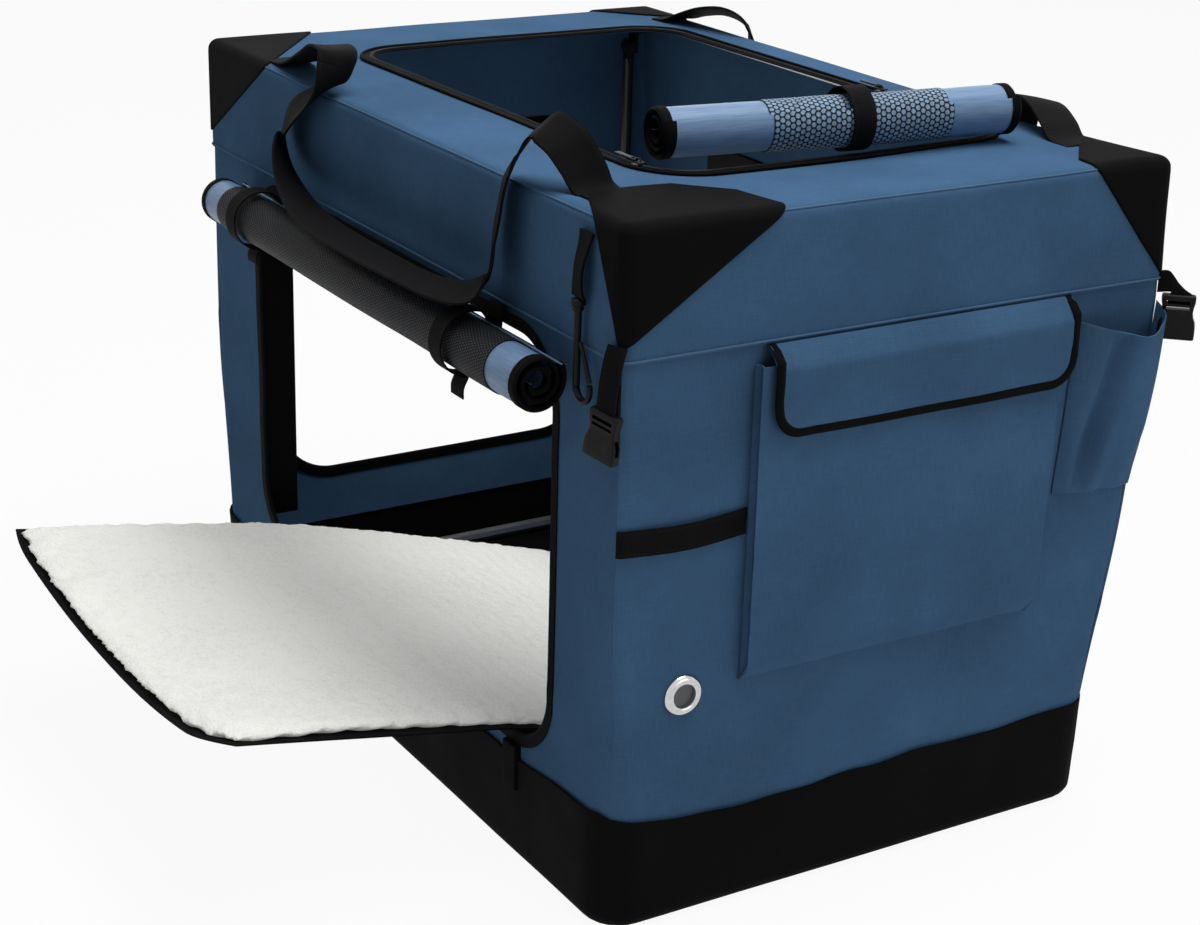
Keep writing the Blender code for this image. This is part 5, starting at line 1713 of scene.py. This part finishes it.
    def make_right_buckle(self) -> None:
        """Make the half buckle that stands off the right corner on its stiff folded strap."""
        shell = self.shell
        across = Vector((0.74, -0.67, 0)).normalized()
        corner = shell.leaning(Vector((shell.half_x, -shell.half_y, shell.band_seam)))
        place = corner + spot(-5, 3, 5)
        frame = Matrix.Translation(place) @ Matrix((across, Z, across.cross(Z))).transposed().to_4x4()
        self.buckle("right_buckle", frame, 19 * MM, -18 * MM)
        rows = (
            (0, -8, 0, 0, 1), (9, -7, 0, -0.2, 1), (17, -9, -0.6, -0.6, 0.8), (21, -15, 0.6, -1, 0.35),
            (20, -22, 1.0, -1, 0), (19, -26, 0, -1, 0),
        )
        turn = frame.to_3x3()
        line = [frame @ spot(*row[:3]) for row in rows]
        self.buckle_strap("right_buckle", line, [turn @ Vector((*row[3:], 0)) for row in rows])

    def make_slider(self, tag: str, sign: int, y: float) -> None:
        """Make a zip slider: an arched body, its bail and its hanging pull."""
        x = 25 * MM + sign * (175 + 5.5) * MM
        base = self.shell.height + 2.4 * MM
        lean = sign * 1.5
        widths = (3.6, 4.2, 3.2, 3.0, 3.6)

        def at(across: float, back: float, up: float) -> Vector:
            return Vector((x + across * MM, y + back * MM, base + up * MM))

        def waisted(co: Vector) -> Vector:
            row = min(4, int((co.y - y + 7 * MM) / (3 * MM)))
            return Vector((x + (co.x - x) * widths[row] / 4, co.y, co.z))

        name = f"{tag}_slider"
        parts = [
            shape(bar_box(f"{name}_plate", at(-4, -7, up), at(4, 7, up + 1.4), 0.6 * MM), waisted)
            for up in (0.0, 3.2)
        ]
        parts.append(bar_box(f"{name}_post", at(-1, -6, 0), at(1, -1, 4), 0.2 * MM))
        bail = smooth_points([at(0, -4, 4.4), at(0, -2, 6.4), at(0, 2, 6.4), at(0, 4, 4.4)], 5)
        parts.append(tube(f"{name}_bail", bail, 0.8 * MM))
        pull = bar_box(f"{name}_pull", at(lean - 2.6, 1, 4.7), at(lean + 2.6, 31, 6.3), 0.6 * MM)
        cut(pull, bar_box(f"{name}_hole", at(lean - 1.4, 3, 0), at(lean + 1.4, 8, 9), 0.2 * MM))
        slider = joined(name, [*parts, pull])
        self.wardrobe.dress(slider, "black_plastic", f"{tag}_zip_slider", f"{tag}_zip_slider")


@dataclass
class FleecePad:
    """The fleece pad that slopes through the doorway: white pile above and a black cloth below."""

    wardrobe: Wardrobe
    length: float = 750 * MM
    width: float = 505 * MM
    thickness: float = 10 * MM
    centre_y: float = -10 * MM
    outer_x: float = -540 * MM
    outer_z: float = 185 * MM
    sill_x: float = -260 * MM
    sill_z: float = 135 * MM
    landing_x: float = 165 * MM
    low_z: float = 8.8 * MM
    bend: float = 18 * MM
    droop: float = 26 * MM
    corner_share: float = 0.22
    near_pull: float = 22 * MM
    far_pull: float = 7 * MM
    margin: float = 5.5 * MM
    tuft: float = 3.4 * MM
    swell_frames: int = 12
    most_swell: float = 3.0 * MM

    def height_at(self, x: float) -> float:
        """Return the height of the pad's middle layer along X."""
        if x >= self.landing_x:
            return self.low_z
        far_x, far_z = (self.outer_x, self.outer_z) if x < self.sill_x else (self.landing_x, self.low_z)
        return self.sill_z + (far_z - self.sill_z) * (x - self.sill_x) / (far_x - self.sill_x)

    def place(self, s: float, t: float, grow: float = 0.0) -> Vector:
        """Return a place on the pad's middle layer."""
        x = self.outer_x + grow + (self.length - 2 * grow) * s
        across = 2 * t - 1
        corner = max(0.0, abs(across) - (1 - self.corner_share)) / self.corner_share
        pull = self.near_pull if across < 0 else self.far_pull
        x += pull * corner**2 * (1 - s) ** 6
        y = self.centre_y + across * (self.width / 2 - grow)
        z = sum(self.height_at(x + d) for d in (-self.bend, 0, self.bend)) / 3
        out = max(0.0, (self.sill_x - x) / (self.sill_x - self.outer_x))
        sway = lump(x * 5, y * 5, 2) * 2.5 * MM
        return Vector((x, y, z - self.droop * out**2 * (1 - across**2) + sway))

    def build(self) -> None:
        """Make the stuffed body, the pile on it and the black backing."""
        size = (self.length, self.width)
        body = cloth(
            "pad_fleece", lambda s, t: self.place(s, t, self.margin), 60, 40, size, middle=Vector((0, 0, -5))
        )
        thicken(body, self.thickness * 0.6, 0)
        modify(body, "REMESH", mode="VOXEL", voxel_size=5.5 * MM)
        rest = [v.co.copy() for v in body.data.vertices]
        self.swell(body, rest)
        modify(body, "SUBSURF", levels=1, render_levels=1)
        self.raise_pile(body)
        self.wardrobe.dress(body, "white_fleece", "fleece_pad", "fleece_pad", angle=180)

        def under(s: float, t: float) -> Vector:
            return self.place(s, t, 1.0 * MM) - Z * (4.0 * MM)

        backing = cloth("pad_backing", under, 90, 60, size, middle=Vector((0, 0, 5)))
        thicken(backing, 1.2 * MM, 1)
        self.wardrobe.dress(backing, "black_cloth", "fleece_pad")

    def swell(self, body: Piece, rest: list[Vector]) -> None:
        """Blow the pad up a little as cloth under pressure, and keep each point near its place."""
        only(body)
        settings = body.modifiers.new("Cloth", "CLOTH").settings
        settings.use_pressure = True
        settings.uniform_pressure_force = 3.0
        settings.effector_weights.gravity = 0.0
        settings.quality = 4
        settings.mass = 0.3
        for frame_number in range(1, self.swell_frames + 1):
            bpy.context.scene.frame_set(frame_number)
        bpy.ops.object.modifier_apply(modifier="Cloth")
        for vertex, home in zip(body.data.vertices, rest):
            move = vertex.co - home
            if move.length > self.most_swell:
                vertex.co = home + move.normalized() * self.most_swell
        bpy.context.scene.frame_set(1)

    def raise_pile(self, body: Piece) -> None:
        """Raise the upper face into curls of pile, longer at the edges."""
        normals = [v.normal.copy() for v in body.data.vertices]
        for vertex, normal in zip(body.data.vertices, normals):
            place = vertex.co
            curl = noise.noise(place * 260) * 0.7 + noise.noise(place * 90) * 0.8
            curl += noise.noise(place * 28) * 0.5
            upper = 1.0 if normal.z > -0.3 else 0.15
            rim = max(0.0, 1 - abs(normal.z) / 0.75)
            tuft = max(0.0, noise.noise(place * 190) + 0.25) * self.tuft * rim
            level = Vector((normal.x, normal.y, 0))
            vertex.co = place + normal * (0.8 + curl) * MM * upper + level * tuft


@dataclass
class Stage:
    """The camera of the photograph, a pale floor and soft studio light."""

    frame_size: tuple[int, int] = (1200, 925)
    focal_pixels: float = 2326.37
    sensor: float = 36.0

    def build(self) -> None:
        """Set the camera, the lamps, the floor and the background."""
        self.make_camera()
        self.make_floor()
        self.make_background()
        for name, place, size, power in (
            ("overhead", (0.35, -0.5, 3.4), 2.4, 108.0), ("front", (1.2, -3.6, 1.4), 2.2, 13.0),
            ("left", (-3.6, -0.4, 1.6), 2.4, 7.0), ("back", (1.5, 3.2, 2.4), 2.5, 10.0),
        ):
            self.add_lamp(name, Vector(place), size, power)

    def make_camera(self) -> None:
        """Add the camera at the photograph's place."""
        camera = bpy.data.cameras.new("camera")
        camera.sensor_width = self.sensor
        camera.sensor_fit = "HORIZONTAL"
        camera.lens = self.sensor * self.focal_pixels / self.frame_size[0]
        camera.clip_start, camera.clip_end = 0.05, 60.0
        holder = bpy.data.objects.new("camera", camera)
        right = Vector((0.85712, -0.51440, 0.02736))
        up = Vector((0.16020, 0.31667, 0.93491))
        forward = Vector((0.48958, 0.79694, -0.35383))
        turn = Matrix((right, up, -forward)).transposed()
        holder.matrix_world = Matrix.Translation((-1.12985, -1.79095, 1.03836)) @ turn.to_4x4()
        bpy.context.scene.collection.objects.link(holder)
        bpy.context.scene.camera = holder

    def add_lamp(self, name: str, place: Vector, size: float, power: float) -> None:
        """Add a soft square lamp that faces the crate."""
        data = bpy.data.lights.new(name, "AREA")
        data.size = size
        data.energy = power
        lamp = bpy.data.objects.new(name, data)
        lamp.location = place
        lamp.rotation_euler = (Vector((0, 0, 0.3)) - place).to_track_quat("-Z", "Y").to_euler()
        bpy.context.scene.collection.objects.link(lamp)

    def seen(self, graph: Graph) -> Signal:
        """Return 1 for rays that come from the camera, a gloss or through glass."""
        paths = graph.tree.nodes.new("ShaderNodeLightPath")
        camera, glossy, through = (
            Signal(graph, paths.outputs[name])
            for name in ("Is Camera Ray", "Is Glossy Ray", "Is Transmission Ray")
        )
        return camera + glossy + through

    def make_floor(self) -> None:
        """Add a wide floor that looks white where no shadow falls."""
        bpy.ops.mesh.primitive_grid_add(x_subdivisions=2, y_subdivisions=2, size=30, location=(0, 0, 0))
        floor = named("floor")
        graph = Graph("pale_floor")
        material = graph.finish(Base_Color=(0.8, 0.8, 0.8, 1), Roughness=0.9, Specular_IOR_Level=0.0)
        output = graph.tree.nodes["Material Output"]
        glow = graph.node("ShaderNodeEmission", {}, {"Color": (1, 1, 1, 1), "Strength": 1.0})
        share = self.seen(graph) * 0.93
        shader = Signal(graph, graph.shader.outputs[0])
        blend = graph.node("ShaderNodeMixShader", {}, {0: share, 1: shader, 2: glow})
        graph.feed(output.inputs["Surface"], blend)
        floor.data.materials.append(material)

    def make_background(self) -> None:
        """Fill the world with soft grey light that the camera sees as white."""
        world = bpy.data.worlds.new("studio")
        bpy.context.scene.world = world
        graph = Graph("studio", world)
        background = graph.shader
        background.inputs["Color"].default_value = (0.14, 0.14, 0.143, 1)
        background.inputs["Strength"].default_value = 1.0
        white = graph.node("ShaderNodeBackground", {}, {"Color": (1, 1, 1, 1), "Strength": 1.0})
        plain = Signal(graph, background.outputs[0])
        blend = graph.node("ShaderNodeMixShader", {}, {0: self.seen(graph), 1: plain, 2: white})
        graph.feed(graph.tree.nodes["World Output"].inputs["Surface"], blend)


def finish_wardrobe(frame: dict) -> Wardrobe:
    """Return every finish of the crate, made as materials."""
    wardrobe = Wardrobe(frame)
    for name, finish in (
        ("blue_cloth", WovenCloth((0.056, 0.122, 0.225))),
        ("blue_seam", WovenCloth((0.085, 0.165, 0.28), thread=0.5 * MM)),
        ("blue_thread", WovenCloth((0.085, 0.165, 0.28), thread=0.3 * MM)),
        # The inner lining of the walls and the top is painted near black: painted shade of the crate's
        # inside.
        ("lining_in_painted_shade", CoatedLining((0.006, 0.011, 0.020), 0.6, 0.0)),
        ("blue_lining", CoatedLining((0.15, 0.25, 0.41))),
        ("black_cloth", WovenCloth((0.0042, 0.0042, 0.0046), contrast=0.25, roughness=0.75)),
        ("black_tape", WovenCloth((0.004, 0.004, 0.0044), thread=0.8 * MM, contrast=0.3, roughness=0.7)),
        ("zip_coil", MouldedPlastic((0.02, 0.02, 0.022), 0.4)),
        ("elastic_weave", Webbing((0.0045, 0.0045, 0.005), rib=1.0 * MM, width=22 * MM)),
        ("black_webbing", Webbing((0.0042, 0.0042, 0.0046))),
        ("narrow_webbing", Webbing((0.0042, 0.0042, 0.0046), rib=1.2 * MM, width=21 * MM)),
        # The window net's holes are painted near black: painted shade of the crate's inside seen through
        # them.
        ("window_net", Net((0.005, 0.005, 0.006), (0.003, 0.003, 0.004), 2.0 * MM)),
        ("door_net", Net((0.003, 0.003, 0.0035), (0.05, 0.055, 0.065), 3.4 * MM, 0.4)),
        ("top_net", Net((0.006, 0.007, 0.009), (0.26, 0.37, 0.52), 5.4 * MM, 0.85)),
        # The eyelet's disc is painted the grey of the fleece in shadow: painted shade.
        ("painted_shade_net", Net((0.16, 0.17, 0.17), (0.30, 0.31, 0.30), 1.2 * MM)),
        ("black_plastic", MouldedPlastic((0.005, 0.005, 0.0055))),
        ("white_fleece", FleecePile((0.88, 0.88, 0.84))),
        ("chrome", CoatedSteel((0.60, 0.60, 0.60), 0.14)),
        ("steel", CoatedSteel((0.50, 0.50, 0.52), 0.34)),
        ("black_steel", CoatedSteel((0.006, 0.006, 0.0065), 0.45, 0.0)),
    ):
        wardrobe.add(name, finish)
    return wardrobe


def dress_frame(wardrobe: Wardrobe) -> None:
    """Give the steel nodes that keep their own shape their metal."""
    for name, node in wardrobe.frame["nodes"].items():
        if name.endswith("_ring") or "bracket" in name or "_post_" in name:
            node.data.materials.clear()
            node.data.materials.append(wardrobe.made["steel" if name.endswith("_ring") else "black_steel"])


def main() -> None:
    """Build every sub-assembly round the frame."""
    logging.basicConfig(level=logging.INFO, format="%(name)s: %(message)s")
    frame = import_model()
    bpy.context.scene.view_settings.view_transform = "Standard"
    wardrobe = finish_wardrobe(frame)
    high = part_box("front_wall")[1]
    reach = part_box("base_cover")[1]
    shell = Shell(half_x=reach.x, half_y=reach.y, height=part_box("top_cover")[1].z)
    LOG.info("the crate stands %.3f m tall, its walls reach %.3f m", shell.height, high.z)
    walls = Walls(shell, wardrobe)
    Stage().build()
    dress_frame(wardrobe)
    TopCover(shell, wardrobe).build()
    BaseCover(shell, wardrobe).build()
    walls.build()
    FrontPockets(walls, wardrobe).build()
    Roll(
        "door_roll", "left_door_roll", "crate_base", centre=Vector((-0.2924, -0.022, 0.466)), along=Y,
        length=0.626, radius=26 * MM, wardrobe=wardrobe, net=(0.075, 0.935), riser=28 * MM,
        straps=(("left_roll_strap_a", 0.227, 14 * MM), ("left_roll_strap_b", -0.193, 18 * MM)),
    ).build()
    Roll(
        "rear_roll", "rear_door_roll", "crate_base", centre=Vector((0, 0.4324, 0.466)), along=X,
        length=0.420, radius=26 * MM, wardrobe=wardrobe, net=(0.1, 0.9), riser=28 * MM,
        straps=(("rear_roll_strap", 0.0, 12 * MM),),
    ).build()
    Roll(
        "flap_roll", "top_roll", "top_frame", centre=Vector((0.025, -0.268, 0.6285)),
        along=Vector((1, -0.13, 0)), length=0.330, radius=25 * MM, wardrobe=wardrobe, net=(0.29, 0.80),
        net_finish="top_net", straps=(("top_roll_strap", 0.013, 0.0),),
    ).build()
    Handles(shell, wardrobe).build()
    Fittings(shell, wardrobe).build()
    FleecePad(wardrobe).build()


if __name__ == "__main__":
    main()
